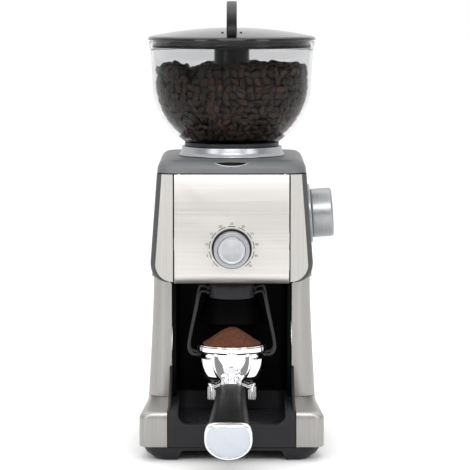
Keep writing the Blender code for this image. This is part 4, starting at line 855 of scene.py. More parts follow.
# %% Dark side covers
def make_head_cover(side, word):
    low, high = HEAD_BOTTOM + 0.0018, HEAD_TOP - GAP
    chin = [(low, 0.0125), (low + 0.0010, 0.0092), (HEAD_BOTTOM + 0.0040, 0.0065),
            (HEAD_BOTTOM + 0.0060, 0.0044), (HEAD_BOTTOM + 0.0080, 0.0027), (HEAD_BOTTOM + 0.0105, 0.0014),
            (SHOULDER_Z, 0.0005), (SHOULDER_Z + 0.0030, 0.0001), (SHOULDER_Z + 0.0060, 0.0)]

    def front_w(z):
        for (z0, tuck0), (z1, tuck1) in zip(chin, chin[1:]):
            if z <= z1:
                return HEAD_HALF_W - tuck0 - (tuck1 - tuck0) * (z - z0) / (z1 - z0)
        share = (z - chin[-1][0]) / (high - chin[-1][0])
        return HEAD_HALF_W + (HEAD_TOP_HALF_W - HEAD_HALF_W) * share

    def ring(z):
        w, rear, lean = front_w(z), wall_half_w(max(z, SHOULDER_Z)), 0.0015
        path = [(x, front_plane(x) + lean) for x in (PANEL_HALF_W + 0.0010, w - 0.0080)]
        path += arc(w - 0.0045, front_plane(w - 0.0045) + lean + 0.006, 0.0045, 0.0055, -80, 0, 14)
        path += [(rear, COLUMN_FRONT)]
        path += arc(rear - CORNER_R, BASE_BACK - CORNER_R, CORNER_R, CORNER_R, 0, 90, 16)
        return at_height(mirrored(thicken(path, 0.0025), side), z)

    heights = [z for z, _ in chin] + [chin[-1][0] + (high - chin[-1][0]) * i / 8 for i in range(1, 9)]
    rings = [ring(z) for z in heights]
    cover = lofted("side_cover_" + word, rings, DARK, "housing", ["head_cover_" + word], 40)
    outline = [(-0.1, COLUMN_FRONT - GAP), (0.1, COLUMN_FRONT - GAP), (0.1, BASE_BACK + 0.02),
               (-0.1, BASE_BACK + 0.02)]
    carve(cover, slab("shoulder_tool", outline, low - 0.01, SHOULDER_Z + GAP, DARK, "housing"))
    if side > 0:
        seat, lean_axis = knob_seat()
        drilled(cover, 0.0058, 0.02, -0.02, DARK, 48, seat, lean_axis)
    return cover


def knob_seat():
    """Where the grind knob's axis leaves the side wall, and the axis, square to the leaning wall."""
    joint = next(j for j in frame["joints"] if j["name"] == "grind_turn")
    return Vector(joint["pos_m"]), Vector(joint["axis"])


for side, word in SIDES:
    made = make_head_cover(side, word)
    print(made.name, len(made.data.polygons), "faces")

# %% [markdown]
# ### Top cover
# One mid-grey moulding closes the head. Its upper edge is generously rounded and its walls draw in slightly,
# so that it releases from its mould. A small crescent at the front is a finger recess with a bright lower
# lip.

# %% Top cover with its crescent
def make_top_cover():
    low, rise = BOX["top_cover"][LOW].z, 0.0090

    def ring(z, inset):
        half_w, corner = HEAD_TOP_HALF_W - inset, 0.017 - 0.4 * inset
        front, back = HEAD_FRONT + 0.002 + inset, BASE_BACK - 0.001 - inset
        return at_height(rounded(half_w, front, back, corner, 16), z)

    levels = [(low, 0.0004), (low + 0.0004, 0.0)]
    levels += [(COVER_TOP - rise + rise * math.sin(math.radians(a)),
                0.0004 + 0.0095 * (1 - math.cos(math.radians(a)))) for a in range(0, 91, 6)]
    rings = [ring(z, inset) for z, inset in levels]
    cover = lofted("top_cover_moulding", rings, GREY, "housing", ["top_cover"], 40)
    room = [(low - 0.01, 0.0025), (low + 0.005, 0.0025), (COVER_TOP - 0.0025, 0.0100)]
    carve(cover, lofted("cover_room", [ring(z, inset) for z, inset in room], GREY, "housing"))
    return drilled(cover, collar_r() - 0.0025, COVER_TOP + 0.02, COVER_TOP - 0.02, GREY, 128)


def collar_r():
    return edge("collar", HIGH, "x") - 0.0022


def make_crescent(cover):
    """A lens-shaped cut in the cover's front face, and a polished lip along its lower side."""
    half, z = 0.0150, COVER_TOP - 0.0026
    upper, lower = 0.0006, -0.0030
    outline = [(half * (i / 10 - 1), upper * (1 - (i / 10 - 1) ** 2)) for i in range(21)]
    outline += [(half * (1 - i / 10), lower * (1 - abs(1 - i / 10) ** 2.6)) for i in range(1, 20)]
    outline = [(x, z + h) for x, h in outline]
    depth = HEAD_FRONT + 0.0105
    carve(cover, slab("crescent_tool", outline, HEAD_FRONT - 0.01, depth, GREY, "housing", axis="Y"))
    narrower = [(x * 0.99, height) for x, height in outline]
    slab("crescent_floor", narrower, depth - 0.0005, depth + 0.0005, BLACK, "housing", axis="Y")
    lip, wall = [], 0.00075
    for i in range(41):
        x = half * 1.02 * (i / 20 - 1)
        fall = lower * (1 - min(1.0, abs(x / half)) ** 2.6)
        climb = (z + fall - COVER_TOP + 0.009) / 0.009
        y = HEAD_FRONT + 0.0024 + 0.0095 * (1 - math.sqrt(max(0.0, 1 - climb ** 2)))
        lip.append((Vector((x, y, z + fall)), wall * (0.35 + 0.65 * (1 - (x / half / 1.03) ** 2))))
    turns = [2 * math.pi * k / 10 for k in range(10)]
    rings = [[spot + size * Vector((0, math.sin(a), math.cos(a))) for a in turns] for spot, size in lip]
    lofted("crescent_lip", rings, CAP_FACE, "housing")


top_cover = make_top_cover()
make_crescent(top_cover)
print("top cover:", len(top_cover.data.polygons), "faces")

# %% Floor of the head, above the bay
def make_head_floor():
    low, high = BOX["head_floor"]
    outline = rounded(high.x, low.y, high.y, 0.004, 8)
    floor = slab("head_floor_plate", outline, low.z, high.z, SHADED_BAY_BLACK, "housing", ["head_floor"])
    chute = edge("outlet_nozzle", HIGH, "x") - 0.0057 + GAP
    drilled(floor, chute, high.z + 0.01, low.z - 0.01, SHADED_BAY_BLACK, 64, (0, portafilter_y(), 0))
    return bevelled(floor, 0.0003, 2)


def portafilter_y():
    (_, y0, _), (_, y1, _) = BOX["filter_basket"]
    return (y0 + y1) / 2


print("head floor:", len(make_head_floor().data.polygons), "faces")
print("chute at y", round(1000 * portafilter_y(), 1), "mm")

# %% [markdown]
# ## The timer dial
# A metal knob with a flat disc in its middle: turning the rim sets the time, pressing the disc starts it. It
# stands in a black bezel. Round it are eleven printed numbers, each with a short arc that says which stretch
# of the turn belongs to it. The print is real geometry, less than a tenth of a millimetre thick.

# %% Knob, disc and bezel
def make_dial():
    face, front = (0, HEAD_FRONT, DIAL_Z), (0, -1, 0)
    knob_r, out = edge("timer_knob", HIGH, "x"), -edge("timer_knob", LOW, "y") + HEAD_FRONT
    button_r = edge("start_button", HIGH, "x")
    bezel = knob_r + 0.0013
    spun("dial_bezel", eased([(bezel, 0.0012), (bezel, -0.0018), (0.0135, -0.0018), (0.0135, -0.0170),
                              (0, -0.0170), (0, -0.0120), (0.0034, -0.0120), (0.0034, 0.0002),
                              (bezel - 0.0016, 0.0002), (bezel - 0.0016, 0.0012)], 0.0003, 3),
         BLACK, "housing", ["timer_switch"], 96, face, front)
    pocket = out - 0.0060
    spun("timer_dial_knob", eased([
        (knob_r - 0.0002, out, 0.0009), (knob_r, 0.0018), (0.0030, 0.0018), (0.0030, -0.0115), (0, -0.0115),
        (0, pocket), (button_r + GAP, pocket), (button_r + GAP, out, 0.0004)], 0.0003, 6),
        DIAL_METAL, "timer_knob", ["timer_knob"], 128, face, front)
    back = pocket + 0.0015 + GAP
    rim = [(0, out - 0.0001), (button_r - 0.0022, out - 0.0001), (button_r - 0.0017, out + 0.0002),
           (button_r, out + 0.0002, 0.0006), (button_r, back), (0, back)]
    spun("start_disc", eased(rim, 0.0002, 4), DISC_METAL, "start_button", ["start_button"], 128, face, front)
    return bezel


bezel_r = make_dial()
print("dial bezel", round(2000 * bezel_r, 1), "mm across")

# %% Numbers and arcs round the dial
PRINT_T = 0.00006


def number_mesh(text, size):
    curve = bpy.data.curves.new("number", "FONT")
    curve.body, curve.size, curve.extrude = text, size, PRINT_T / 2
    curve.align_x, curve.align_y, curve.resolution_u = "CENTER", "CENTER", 3
    holder = in_scene("number_holder", curve)
    bpy.context.view_layer.update()
    mesh = bpy.data.meshes.new_from_object(holder)
    points, faces = [v.co.copy() for v in mesh.vertices], [tuple(p.vertices) for p in mesh.polygons]
    bpy.data.objects.remove(holder, do_unlink=True)
    return points, faces


def make_scale():
    marks = [1] + list(range(5, 55, 5))
    number_r, arc_r, step = 0.0228, bezel_r + 0.0024, 26.6
    points, faces = [], []
    for i, mark in enumerate(marks):
        angle = math.radians((i - 5) * step)
        shift = Vector((number_r * 1.02 * math.sin(angle), HEAD_FRONT - PRINT_T / 2,
                        DIAL_Z + number_r * math.cos(angle)))
        glyph, glyph_faces = number_mesh(str(mark), 0.0033)
        first = len(points)
        points += [shift + Vector((p.x, -p.z, p.y)) for p in glyph]
        faces += [tuple(first + v for v in face) for face in glyph_faces]
    piece("dial_numbers", points, faces, INK, "housing")
    points, faces = [], []
    for i in range(len(marks)):
        middle = (i - 5) * step
        line = [math.radians(middle - 9.5 + 19 * k / 12) for k in range(13)]
        ring = [(arc_r * math.sin(a), arc_r * math.cos(a)) for a in line]
        ring += [((arc_r + 0.0006) * math.sin(a), (arc_r + 0.0006) * math.cos(a)) for a in line[::-1]]
        first, n = len(points), len(ring)
        for y in (HEAD_FRONT, HEAD_FRONT - PRINT_T):
            points += [Vector((x, y, DIAL_Z + z)) for x, z in ring]
        faces.append(tuple(first + n + k for k in range(n)))
        faces += [(first + k, first + (k + 1) % n, first + n + (k + 1) % n, first + n + k) for k in range(n)]
        faces.append(tuple(first + k for k in range(n)))
    piece("dial_arcs", points, faces, INK, "housing")
    return marks


print("printed numbers:", make_scale())

# %% [markdown]
# ## The grind knob
# On the right side a larger knob sets how fine the coffee is ground. It sits square on the leaning wall, over
# a thin escutcheon. Its end is a shallow dish inside a narrow raised rim, and its side is plain.

# %% Grind knob with its escutcheon
def make_grind_knob():
    seat, axis = knob_seat()
    disc_r, disc_t, shaft = 0.0275, 0.0028, 0.0043
    disc = eased([(disc_r, disc_t, 0.0008), (disc_r, 0.0), (shaft, 0.0), (shaft, disc_t)], 0.0003)
    spun("escutcheon_disc", disc, KNOB_METAL, "housing", ["grind_escutcheon"], 128, seat, axis)
    low, r = disc_t + GAP, 0.02285
    high = low + 0.0198
    profile = [(0, high - 0.0010), (0.0175, high - 0.0008), (0.0188, high, 0.0004),
               (r - 0.0016, high, 0.0004), (r, high - 0.0016, 0.0004), (r, low + 0.0012, 0.0003),
               (r - 0.0006, low), (shaft, low), (shaft, low + 0.012), (0, low + 0.012)]
    return spun("grind_setting_knob", eased(profile, 0.0002, 5), KNOB_METAL, "grind_knob", ["grind_knob"],
                160, seat, axis)


print("grind knob:", len(make_grind_knob().data.polygons), "faces")

# %% [markdown]
# ## Collar and hopper
# A satin collar, flared at its foot, receives the hopper's neck. The hopper itself is a bowl: its wall is
# part of an ellipse that starts upright below the rim and curves in to the neck. A short stepped band at the
# top takes the lid.

# %% Sizes of the hopper
HOPPER_BASE_Z, HOPPER_TOP = edge("hopper", LOW, "z"), edge("hopper", HIGH, "z")
HOPPER_BEND_Z = HOPPER_TOP - 0.039
COLLAR_TOP, COLLAR_LOW = HOPPER_BASE_Z - 0.004, COVER_TOP + GAP
BAND_R, HOPPER_R = edge("hopper", HIGH, "x"), edge("hopper", HIGH, "x") - 0.002
HOPPER_BASE_R = edge("hopper_neck", HIGH, "x")
SPINDLE_R = edge("lock_spindle", HIGH, "x")
BOWL_R = HOPPER_R - 0.0008
BOWL_DEPTH = (HOPPER_BEND_Z - HOPPER_BASE_Z) / math.sqrt(1 - (HOPPER_BASE_R / BOWL_R) ** 2)
WALL = 0.0025
print("bowl radius and depth in mm:", round(1000 * BOWL_R, 1), round(1000 * BOWL_DEPTH, 1))


# %% Collar, bowl and neck
def bowl_line(r, depth, low, steps=28):
    """Points up the bowl's wall, from a height to the bend."""
    start = math.acos(min(1.0, (HOPPER_BEND_Z - low) / depth))
    angles = [start + (math.pi / 2 - start) * i / steps for i in range(steps + 1)]
    return [(r * math.sin(a), HOPPER_BEND_Z - depth * math.cos(a)) for a in angles]


def make_collar():
    r, low, sleeve_low = collar_r(), COLLAR_LOW, COLLAR_TOP - 0.036
    profile = [(r - 0.0004, COLLAR_TOP, 0.0006), (r + 0.0005, low + 0.0034, 0.002),
               (r + 0.0022, low + 0.0008), (r + 0.0022, low), (r - 0.003, low), (r - 0.003, sleeve_low),
               (r - 0.006, sleeve_low), (r - 0.006, COLLAR_TOP)]
    return spun("satin_collar", eased(profile, 0.0004), COLLAR_METAL, "housing", ["collar"], 160)


def make_hopper():
    shelf = HOPPER_TOP - 0.0065
    outer = [(BAND_R, HOPPER_TOP, 0.0006), (BAND_R, shelf, 0.0005),
             (HOPPER_R + 0.0008, shelf - 0.0015, 0.0008)]
    outer += bowl_line(BOWL_R, BOWL_DEPTH, HOPPER_BASE_Z)[::-1]
    inner = [(HOPPER_BASE_R - 0.010, HOPPER_BASE_Z)]
    inner += bowl_line(BOWL_R - WALL, BOWL_DEPTH - WALL, HOPPER_BASE_Z + WALL)
    inner += [(HOPPER_R + 0.0008 - WALL, shelf - 0.0015, 0.0008), (BAND_R - WALL, shelf, 0.0005),
              (BAND_R - WALL, HOPPER_TOP, 0.0006)]
    return spun("clear_hopper", eased(outer + inner, 0.0, 4), CLEAR, "hopper", ["hopper"], 192, crease=50)


def wings(name, outer, inner, low, high, body):
    """Two quarter fans round the spindle, opposite each other."""
    for i in range(2):
        start = 180 * i + 45
        fan = arc(0, 0, outer, outer, start, start + 90, 20) + arc(0, 0, inner, inner, start + 90, start, 14)
        bevelled(slab("%s_%d" % (name, i), fan, low, high, BLACK, body), 0.0004, 2)


def make_neck():
    bore, top = collar_r() - 0.006, HOPPER_BASE_Z - GAP
    plug, low, throat = bore - 0.0005, COLLAR_TOP - 0.019, collar_r() - 0.0141
    profile = [(HOPPER_BASE_R, top), (HOPPER_BASE_R, COLLAR_TOP + GAP), (plug, COLLAR_TOP + GAP), (plug, low),
               (throat, low), (throat, top)]
    spun("neck_ring", eased(profile, 0.0004), BLACK, "hopper", ["hopper_neck"], 128)
    wings("neck_web", throat + 0.002, SPINDLE_R + 0.0015, low + 0.005, low + 0.008, "hopper")
    bore, hub_low, hub_high = 0.006, low + 0.001, low + 0.0047
    profile = [(SPINDLE_R, hub_high), (SPINDLE_R, hub_low), (bore, hub_low), (bore, hub_high)]
    spun("gate_hub", eased(profile, 0.0003), BLACK, "gate", ["bean_gate"], 64)
    wings("gate_wing", throat - 0.0006, SPINDLE_R - 0.001, low + 0.0012, low + 0.0045, "gate")


make_collar()
print("hopper:", len(make_hopper().data.polygons), "faces")
make_neck()

# %% [markdown]
# A dark spindle stands in the middle of the hopper. Turning it works the gate in the neck. Its top has a
# finger bar between two scooped recesses.

# %% Spindle
def make_spindle():
    low, top = edge("lock_spindle", LOW, "z"), edge("lock_spindle", HIGH, "z")
    profile = [(0, top), (SPINDLE_R, top, 0.0018), (SPINDLE_R, low), (SPINDLE_R - 0.002, low),
               (SPINDLE_R - 0.002, top - 0.004), (0, top - 0.004)]
    spindle = spun("gate_spindle", eased(profile, 0.0004, 6), SPINDLE, "gate", ["lock_spindle"], 96)
    for side in (-1, 1):
        scoop = [(side * x, y) for x, y in rounded(0.0042, -0.010, 0.010, 0.0040, 8)]
        outline = [(x + side * 0.0072, y) for x, y in scoop]
        carve(spindle, slab("scoop", outline, top - 0.0022, top + 0.01, SPINDLE, "gate"))
    return bevelled(spindle, 0.0003, 2, 40)


print("spindle top at", round(1000 * edge("lock_spindle", HIGH, "z"), 1), "mm")
make_spindle()

# %% [markdown]
# ## Coffee beans
# A hopper full of beans is read by its outermost layer, so single beans are laid only where they can be
# seen: against the bowl's inner wall and over the top. A dark core fills the middle. One bean is an
# ellipsoid with a flattened belly and a narrow crease along it. Every copy has its own size, turn and roast.
# A bean that would poke through the wall is moved back by about the amount it sticks out.

# %% The shape of one bean
BEAN_HALF = np.array([0.0051, 0.0037, 0.0028])


def bean_shape():
    """Points and faces of one bean, with its belly and crease towards -Z."""
    turns = [-90, -84, -74, -58, -38, -15, 10, 35, 62, 90, 118, 145, 170, 195, 218, 238, 254, 264]
    rings = 9
    points, faces = [(-1.0, 0.0, 0.0)], []
    for k in range(1, rings):
        along = math.pi * k / rings
        r = math.sin(along) ** 0.85
        for a in turns:
            y, z = r * math.cos(math.radians(a)), r * math.sin(math.radians(a))
            z = z if z > 0 else 0.55 * z
            if a == -90:
                z += 0.34 * r
            points.append((-math.cos(along), y, z))
    points.append((1.0, 0.0, 0.0))
    n = len(turns)
    for i in range(n):
        j = (i + 1) % n
        faces.append((0, 1 + j, 1 + i))
        faces.append((len(points) - 1, 1 + (rings - 2) * n + i, 1 + (rings - 2) * n + j))
        for k in range(rings - 2):
            a = 1 + k * n
            faces.append((a + i, a + j, a + n + j, a + n + i))
    return np.array(points) * BEAN_HALF, faces


print("one bean has", len(bean_shape()[1]), "faces")


# %% Where beans lie
BEAN_LEVEL = HOPPER_TOP - 0.022


def bean_top(x, y):
    """Height of the bean heap, with a furrow left of the middle."""
    furrow = 0.018 * math.exp(-(((x + 0.037) / 0.0085) ** 2)) * (0.35 + 0.65 * min(1.0, max(0.0, -y / 0.03)))
    return BEAN_LEVEL - furrow


def inner_wall(z):
    """Inside radius of the bowl at a height, less a hair."""
    drop = np.clip((HOPPER_BEND_Z - z) / (BOWL_DEPTH - WALL), 0.0, 0.999)
    return (BOWL_R - WALL) * np.sqrt(1 - drop ** 2) - 0.0005


def bean_spots(rng):
    """(place, outward normal) of each bean, on the wall and over the top."""
    spots, run = [], 0.0
    line = bowl_line(BOWL_R - WALL, BOWL_DEPTH - WALL, HOPPER_BASE_Z + WALL + 0.004, 60)
    line += [(BOWL_R - WALL, HOPPER_BEND_Z + 0.0015 * i) for i in range(1, 12)]
    last = None
    for (r, z), (r2, z2) in zip(line, line[1:]):
        step = math.hypot(r2 - r, z2 - z)
        run += step
        if last is not None and run - last < 0.0062:
            continue
        last = run
        slope = Vector((z2 - z, 0, -(r2 - r))).normalized()
        count = int(2 * math.pi * r / 0.0074)
        shift = rng.random()
        for i in range(count):
            a = 2 * math.pi * (i + shift + rng.uniform(-0.16, 0.16)) / count
            high = z + rng.uniform(-0.0012, 0.0012)
            radius = float(inner_wall(high)) - 0.0026
            x, y = radius * math.cos(a), radius * math.sin(a)
            if high < bean_top(x, y) - 0.001:
                spots.append(((x, y, high), (slope.x * math.cos(a), slope.x * math.sin(a), slope.z)))
    pitch = 0.0066
    for i in range(-12, 13):
        for j in range(-12, 13):
            x = pitch * (i + 0.5 * (j % 2)) + rng.uniform(-0.001, 0.001)
            y = pitch * 0.88 * j + rng.uniform(-0.001, 0.001)
            if SPINDLE_R + 0.0055 < math.hypot(x, y) < BOWL_R - WALL - 0.0065:
                lift = (bean_top(x + 0.001, y) - bean_top(x - 0.001, y)) / 0.002
                up = Vector((-lift, 0, 1)).normalized()
                spots.append(((x, y, bean_top(x, y) - 0.0015 + rng.uniform(-0.0015, 0.0015)), tuple(up)))
    return spots


def make_beans(seed=11):
    rng = random.Random(seed)
    shape, shape_faces = bean_shape()
    points, faces, roast = [], [], []
    for spot, normal in bean_spots(rng):
        lean = Vector(normal)
        lean += Vector([rng.gauss(0, 0.26) for _ in range(3)])
        turn = Vector((0, 0, 1)).rotation_difference(lean).to_matrix()
        turn = turn @ Matrix.Rotation(rng.uniform(0, 2 * math.pi), 3, "Z")
        if rng.random() < 0.42:
            turn = turn @ Matrix.Rotation(math.pi, 3, "X")
        size = rng.uniform(0.88, 1.06)
        made = size * shape @ np.array(turn).T + np.array(spot)
        for _ in range(3):
            away = np.hypot(made[:, 0], made[:, 1])
            over = (away - inner_wall(made[:, 2])).max()
            if over > 0:
                made -= np.array(normal) * np.array([1, 1, 0.4]) * over
            near = (SPINDLE_R + 0.0004 - np.hypot(made[:, 0], made[:, 1])).max()
            if near > 0:
                out = np.array([spot[0], spot[1], 0.0])
                made += out / np.linalg.norm(out) * near
        first = len(points)
        points += made.tolist()
        faces += [tuple(first + v for v in face) for face in shape_faces]
        roast += [min(1.0, max(0.0, rng.gauss(0.5, 0.2)))] * len(shape)
    mesh = bpy.data.meshes.new("single_beans")
    mesh.from_pydata(points, [], faces)
    shade = mesh.attributes.new("roast", "FLOAT", "POINT")
    shade.data.foreach_set("value", roast)
    mesh.shade_smooth()
    mesh.materials.append(BEANS)
    heap = in_scene("single_beans", mesh)
    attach(heap, "hopper")
    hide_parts("coffee_beans")
    return len(roast) // len(shape)


def make_bean_core():
    """The dark mass under the visible layer, inset from the wall and from the top."""
    inset, hole = 0.0052, SPINDLE_R + 0.0008
    wall = [(r - inset, z) for r, z in bowl_line(BOWL_R - WALL, BOWL_DEPTH - WALL, HOPPER_BASE_Z + 0.006, 20)]
    wall = [(r, z) for r, z in wall if r > hole + 0.002]
    top = BEAN_LEVEL - 0.0065
    rows = [(hole, wall[0][1])] + wall + [(wall[-1][0], HOPPER_BEND_Z + 0.004)]
    points, faces, n = [], [], 96
    crown = [wall[-1][0] - 0.0005, 0.058, 0.050, 0.042, 0.034, 0.026, hole]
    for i in range(n):
        a = 2 * math.pi * i / n
        c, s = math.cos(a), math.sin(a)
        points += [(r * c, r * s, min(z, bean_top(r * c, r * s) - 0.0065)) for r, z in rows]
        points += [(r * c, r * s, min(top, bean_top(r * c, r * s) - 0.0065)) for r in crown]
    m = len(rows) + len(crown)
    for i in range(n):
        j = (i + 1) % n
        faces += [(i * m + k, j * m + k, j * m + (k + 1) % m, i * m + (k + 1) % m) for k in range(m)]
    return piece("bean_core", points, faces, BEANS, "hopper")


make_bean_core()
print("beans laid:", make_beans())

# %% [markdown]
# ## Lid
# The lid is a gloss dome with a fixed arch for a handle, and a soft ring that seals inside the hopper's band.
# Beside the front foot of the handle, two small moulded marks are sunk into the dome.

# %% Lid, seal and handle
LID_R = edge("lid", HIGH, "x")


def dome_z(radius):
    return HOPPER_TOP + 0.004 + 0.0084 * (1 - (radius / LID_R) ** 2)


def make_lid():
    low, under = HOPPER_TOP + GAP + 0.0006, HOPPER_TOP + 0.0016
    plug, plug_low = BAND_R - WALL - 0.0012, HOPPER_TOP - 0.0040
    top = [(r, dome_z(r)) for r in (0, *[0.004 * i for i in range(1, 19)])]
    top += [(0.0757, dome_z(0.0757), 0.0008), (LID_R - 0.0004, dome_z(LID_R) - 0.0006, 0.0010),
            (LID_R, low, 0.0006)]
    below = [(plug, low), (plug, plug_low), (plug - WALL, plug_low), (plug - WALL, under), (0, under)]
    lid = spun("lid_dome", eased(top + below, 0.0003), GLOSS, "lid", ["lid"], 160)
    for side in (-1, 1):
        outline = [(x + side * 0.0085, y) for x, y in rounded(0.0011, -0.062, -0.048, 0.0010, 5)]
        carve(lid, slab("mark", outline, dome_z(0.050) - 0.0012, dome_z(0.0) + 0.01, GLOSS, "lid"))
    ring, seal_low = plug - WALL - GAP, plug_low - 0.0021
    seal = [(plug + 0.0006, plug_low - GAP), (plug + 0.0006, seal_low, 0.0008),
            (ring - 0.002, seal_low, 0.0008), (ring - 0.002, under - 0.001), (ring, under - 0.001),
            (ring, plug_low - GAP)]
    spun("lid_seal_ring", eased(seal, 0.0003), RUBBER, "lid", ["lid_seal"], 128)

    peak, steps, line = edge("lid_handle", HIGH, "z"), 56, []
    for reach, high in ((LID_R - 0.0065, peak), (LID_R - 0.0155, peak - 0.0060)):
        foot = dome_z(reach) + GAP
        run = [(reach * math.cos(math.pi * i / steps),
                foot + (high - foot) * math.sin(math.pi * i / steps) ** 0.75) for i in range(steps + 1)]
        line += run if not line else run[::-1]
    half = edge("lid_handle", HIGH, "x")
    handle = slab("lid_arch", line, -half, half, GRIP_BLACK, "lid", ["lid_handle"], "X")
    return bevelled(handle, 0.0013, 4)


print("lid handle:", len(make_lid().data.polygons), "faces")

# %% [markdown]
# ## Outlet and cradle
# Ground coffee falls through a stepped black nozzle. Two bent wires hook on to tabs at its sides and reach
# down under the portafilter's rim. A bent wire is a circle carried along a smooth path, and the circle must
# not spin on the way, so each ring is turned only as much as the path itself turns.

# %% Sweeping a circle along a path
def swept(name, points, radius, finish, body, stands_for=(), per_span=12, n=20, tips=0.4):
    """Round bar along the points, its ends rounded by a share of its radius."""
    path = smooth_path([Vector(p) for p in points], per_span)
    last = len(path) - 1
    tangents = [(path[min(i + 1, last)] - path[max(i - 1, 0)]).normalized() for i in range(last + 1)]
    across, rings = tangents[0].orthogonal().normalized(), []
    for i, (spot, ahead) in enumerate(zip(path, tangents)):
        if i:
            across = tangents[i - 1].rotation_difference(ahead) @ across
        up = ahead.cross(across)
        turns = [2 * math.pi * k / n for k in range(n)]
        circle = [across * math.cos(a) + up * math.sin(a) for a in turns]
        tip = [(0.55, 0.0), (0.9, 0.3), (1.0, 1.0)]
        for share, back in {0: tip, last: tip[::-1]}.get(i, [(1.0, 0.0)]):
            away = tips * radius * back * (1 if i == 0 else -1)
            rings.append([spot + ahead * away + c * radius * share for c in circle])
    return lofted(name, rings, finish, body, stands_for, 50)


OUTLET_R, OUTLET_BOTTOM = edge("outlet_nozzle", HIGH, "x"), edge("outlet_nozzle", LOW, "z")
OUTLET_Y, WIRE_R = portafilter_y(), 0.0015
FILTER_RIM_R, FILTER_RIM_Z = edge("portafilter_body", HIGH, "x"), edge("portafilter_body", HIGH, "z")
FILTER_R, FILTER_BASE_Z = FILTER_RIM_R - 0.005, edge("portafilter_spout", HIGH, "z") + GAP
print("filter rim radius and height in mm:", round(1000 * FILTER_RIM_R, 1), round(1000 * FILTER_RIM_Z, 1))


# %% Nozzle with its tabs
def make_nozzle():
    chute, bore, at = OUTLET_R - 0.0057, OUTLET_R - 0.0077, (0, OUTLET_Y, 0)
    top, head = edge("outlet_nozzle", HIGH, "z"), HEAD_BOTTOM - 0.0006
    low, step = OUTLET_BOTTOM, OUTLET_BOTTOM + 0.0022
    profile = [(bore, top), (chute, top), (chute, head), (OUTLET_R - 0.002, head, 0.0003),
               (OUTLET_R, low + 0.0115, 0.0012), (OUTLET_R, low, 0.0009), (OUTLET_R - 0.0022, low, 0.0006),
               (OUTLET_R - 0.0030, step, 0.0006), (bore + 0.0012, step, 0.0006), (bore, low + 0.0034)]
    nozzle = spun("nozzle_moulding", eased(profile, 0.0003), BLACK, "housing", ["outlet_nozzle"], 128, at)
    for side in (-1, 1):
        rings, root, half = [], side * (OUTLET_R - 0.001), 0.0021
        for height, reach in ((0.0028, 0.0024), (0.0090, 0.0022), (0.0110, 0.0008)):
            tip = side * (OUTLET_R + reach)
            rings.append([(x, OUTLET_Y + y, low + height)
                          for x, y in ((root, -half), (tip, -half), (tip, half), (root, half))])
        bevelled(lofted("nozzle_tab_%d" % side, rings, BLACK, "housing"), 0.0005, 3)
    return nozzle


def make_cradle():
    out, low, y = FILTER_R + 0.0124, FILTER_RIM_Z - 0.0065 - WIRE_R, OUTLET_Y
    start = math.sqrt(OUTLET_R ** 2 - 0.004 ** 2) + 0.0007
    run, z = FILTER_R + WIRE_R + 0.0009, OUTLET_BOTTOM
    foot = [(out - 0.0009, 0.009, FILTER_RIM_Z + 0.0080), (out, 0.010, low + 0.006),
            (out - 0.003, 0.0105, low + 0.0008), (run + 0.0022, 0.0100, low), (run, 0.006, low)]
    front = [(start, 0.004, z + 0.0048), (start + 0.005, 0.0045, z + 0.0063),
             (out - 0.0096, 0.006, z + 0.0043), (out - 0.0061, 0.007, z - 0.0117)]
    back = [(start, 0.004, z + 0.0088), (start + 0.005, 0.0045, z + 0.0101),
            (out - 0.0096, 0.006, z + 0.0083), (out - 0.0061, 0.007, z - 0.0097)]
    for side, word in SIDES:
        route = [(side * px, y - py, pz) for px, py, pz in front + foot]
        route += [(side * px, y + py, pz) for px, py, pz in (back + foot)[::-1]]
        swept("bent_wire_" + word, route, WIRE_R, WIRE_STEEL, "housing", ["cradle_wire_" + word])


print("nozzle:", len(make_nozzle().data.polygons), "faces")
make_cradle()

# %% [markdown]
# ## Portafilter
# The portafilter is a plated brass casting: a deep cup under a slim rim, a slot round its sides for the
# cradle's wires, a boss where the handle screws in, and a twin spout below with knurled tips. A pressed steel
# basket drops inside and holds the coffee.

# %% Cup, front and basket
def make_filter():
    at, low, rim = (0, OUTLET_Y, 0), FILTER_BASE_Z, FILTER_RIM_Z
    cup, ledge, wide = FILTER_R - 0.0020, rim - 0.0061, FILTER_RIM_R - 0.0015
    shelf = ledge - 0.0043
    profile = [(FILTER_RIM_R, rim, 0.0005), (FILTER_RIM_R, rim - 0.0042, 0.0008), (wide, ledge, 0.0008),
               (FILTER_R, ledge, 0.0005), (FILTER_R, shelf, 0.0005), (wide, shelf - 0.0006, 0.0008),
               (wide - 0.0011, low + 0.0030, 0.002), (wide - 0.0036, low + 0.0004, 0.0015),
               (wide - 0.0090, low, 0.002), (0.005, low), (0.005, low + 0.003), (cup, low + 0.004),
               (cup, rim)]
    body = spun("plated_cup", eased(profile, 0.0003), CHROME, "portafilter", ["portafilter_body"], 160, at)
    inside = FILTER_R - 0.001
    front = arc(0, OUTLET_Y, wide, wide, -128, -52, 40) + arc(0, OUTLET_Y, inside, inside, -52, -128, 40)
    carve(body, slab("front_fill", front, shelf - 0.0012, ledge + 0.001, CHROME, "portafilter"), "UNION")
    body.modifiers.clear()
    bevelled(body, 0.0004, 2)
    lip, deep = rim + GAP, rim - 0.0240
    profile = [(FILTER_RIM_R - 0.0006, lip + 0.0010, 0.0004), (FILTER_RIM_R - 0.0006, lip, 0.0004),
               (cup - GAP, lip), (cup - GAP, rim - 0.0225, 0.001), (cup - 0.004, deep, 0.001), (0, deep),
               (0, deep + 0.0008), (cup - 0.0045, deep + 0.0008, 0.001), (cup - 0.0012, rim - 0.0220, 0.001),
               (cup - 0.0012, lip + 0.0010, 0.0008)]
    spun("pressed_basket", eased(profile, 0.0002), CHROME, "portafilter", ["filter_basket"], 160, at)


make_filter()
print("cup, front and basket done")


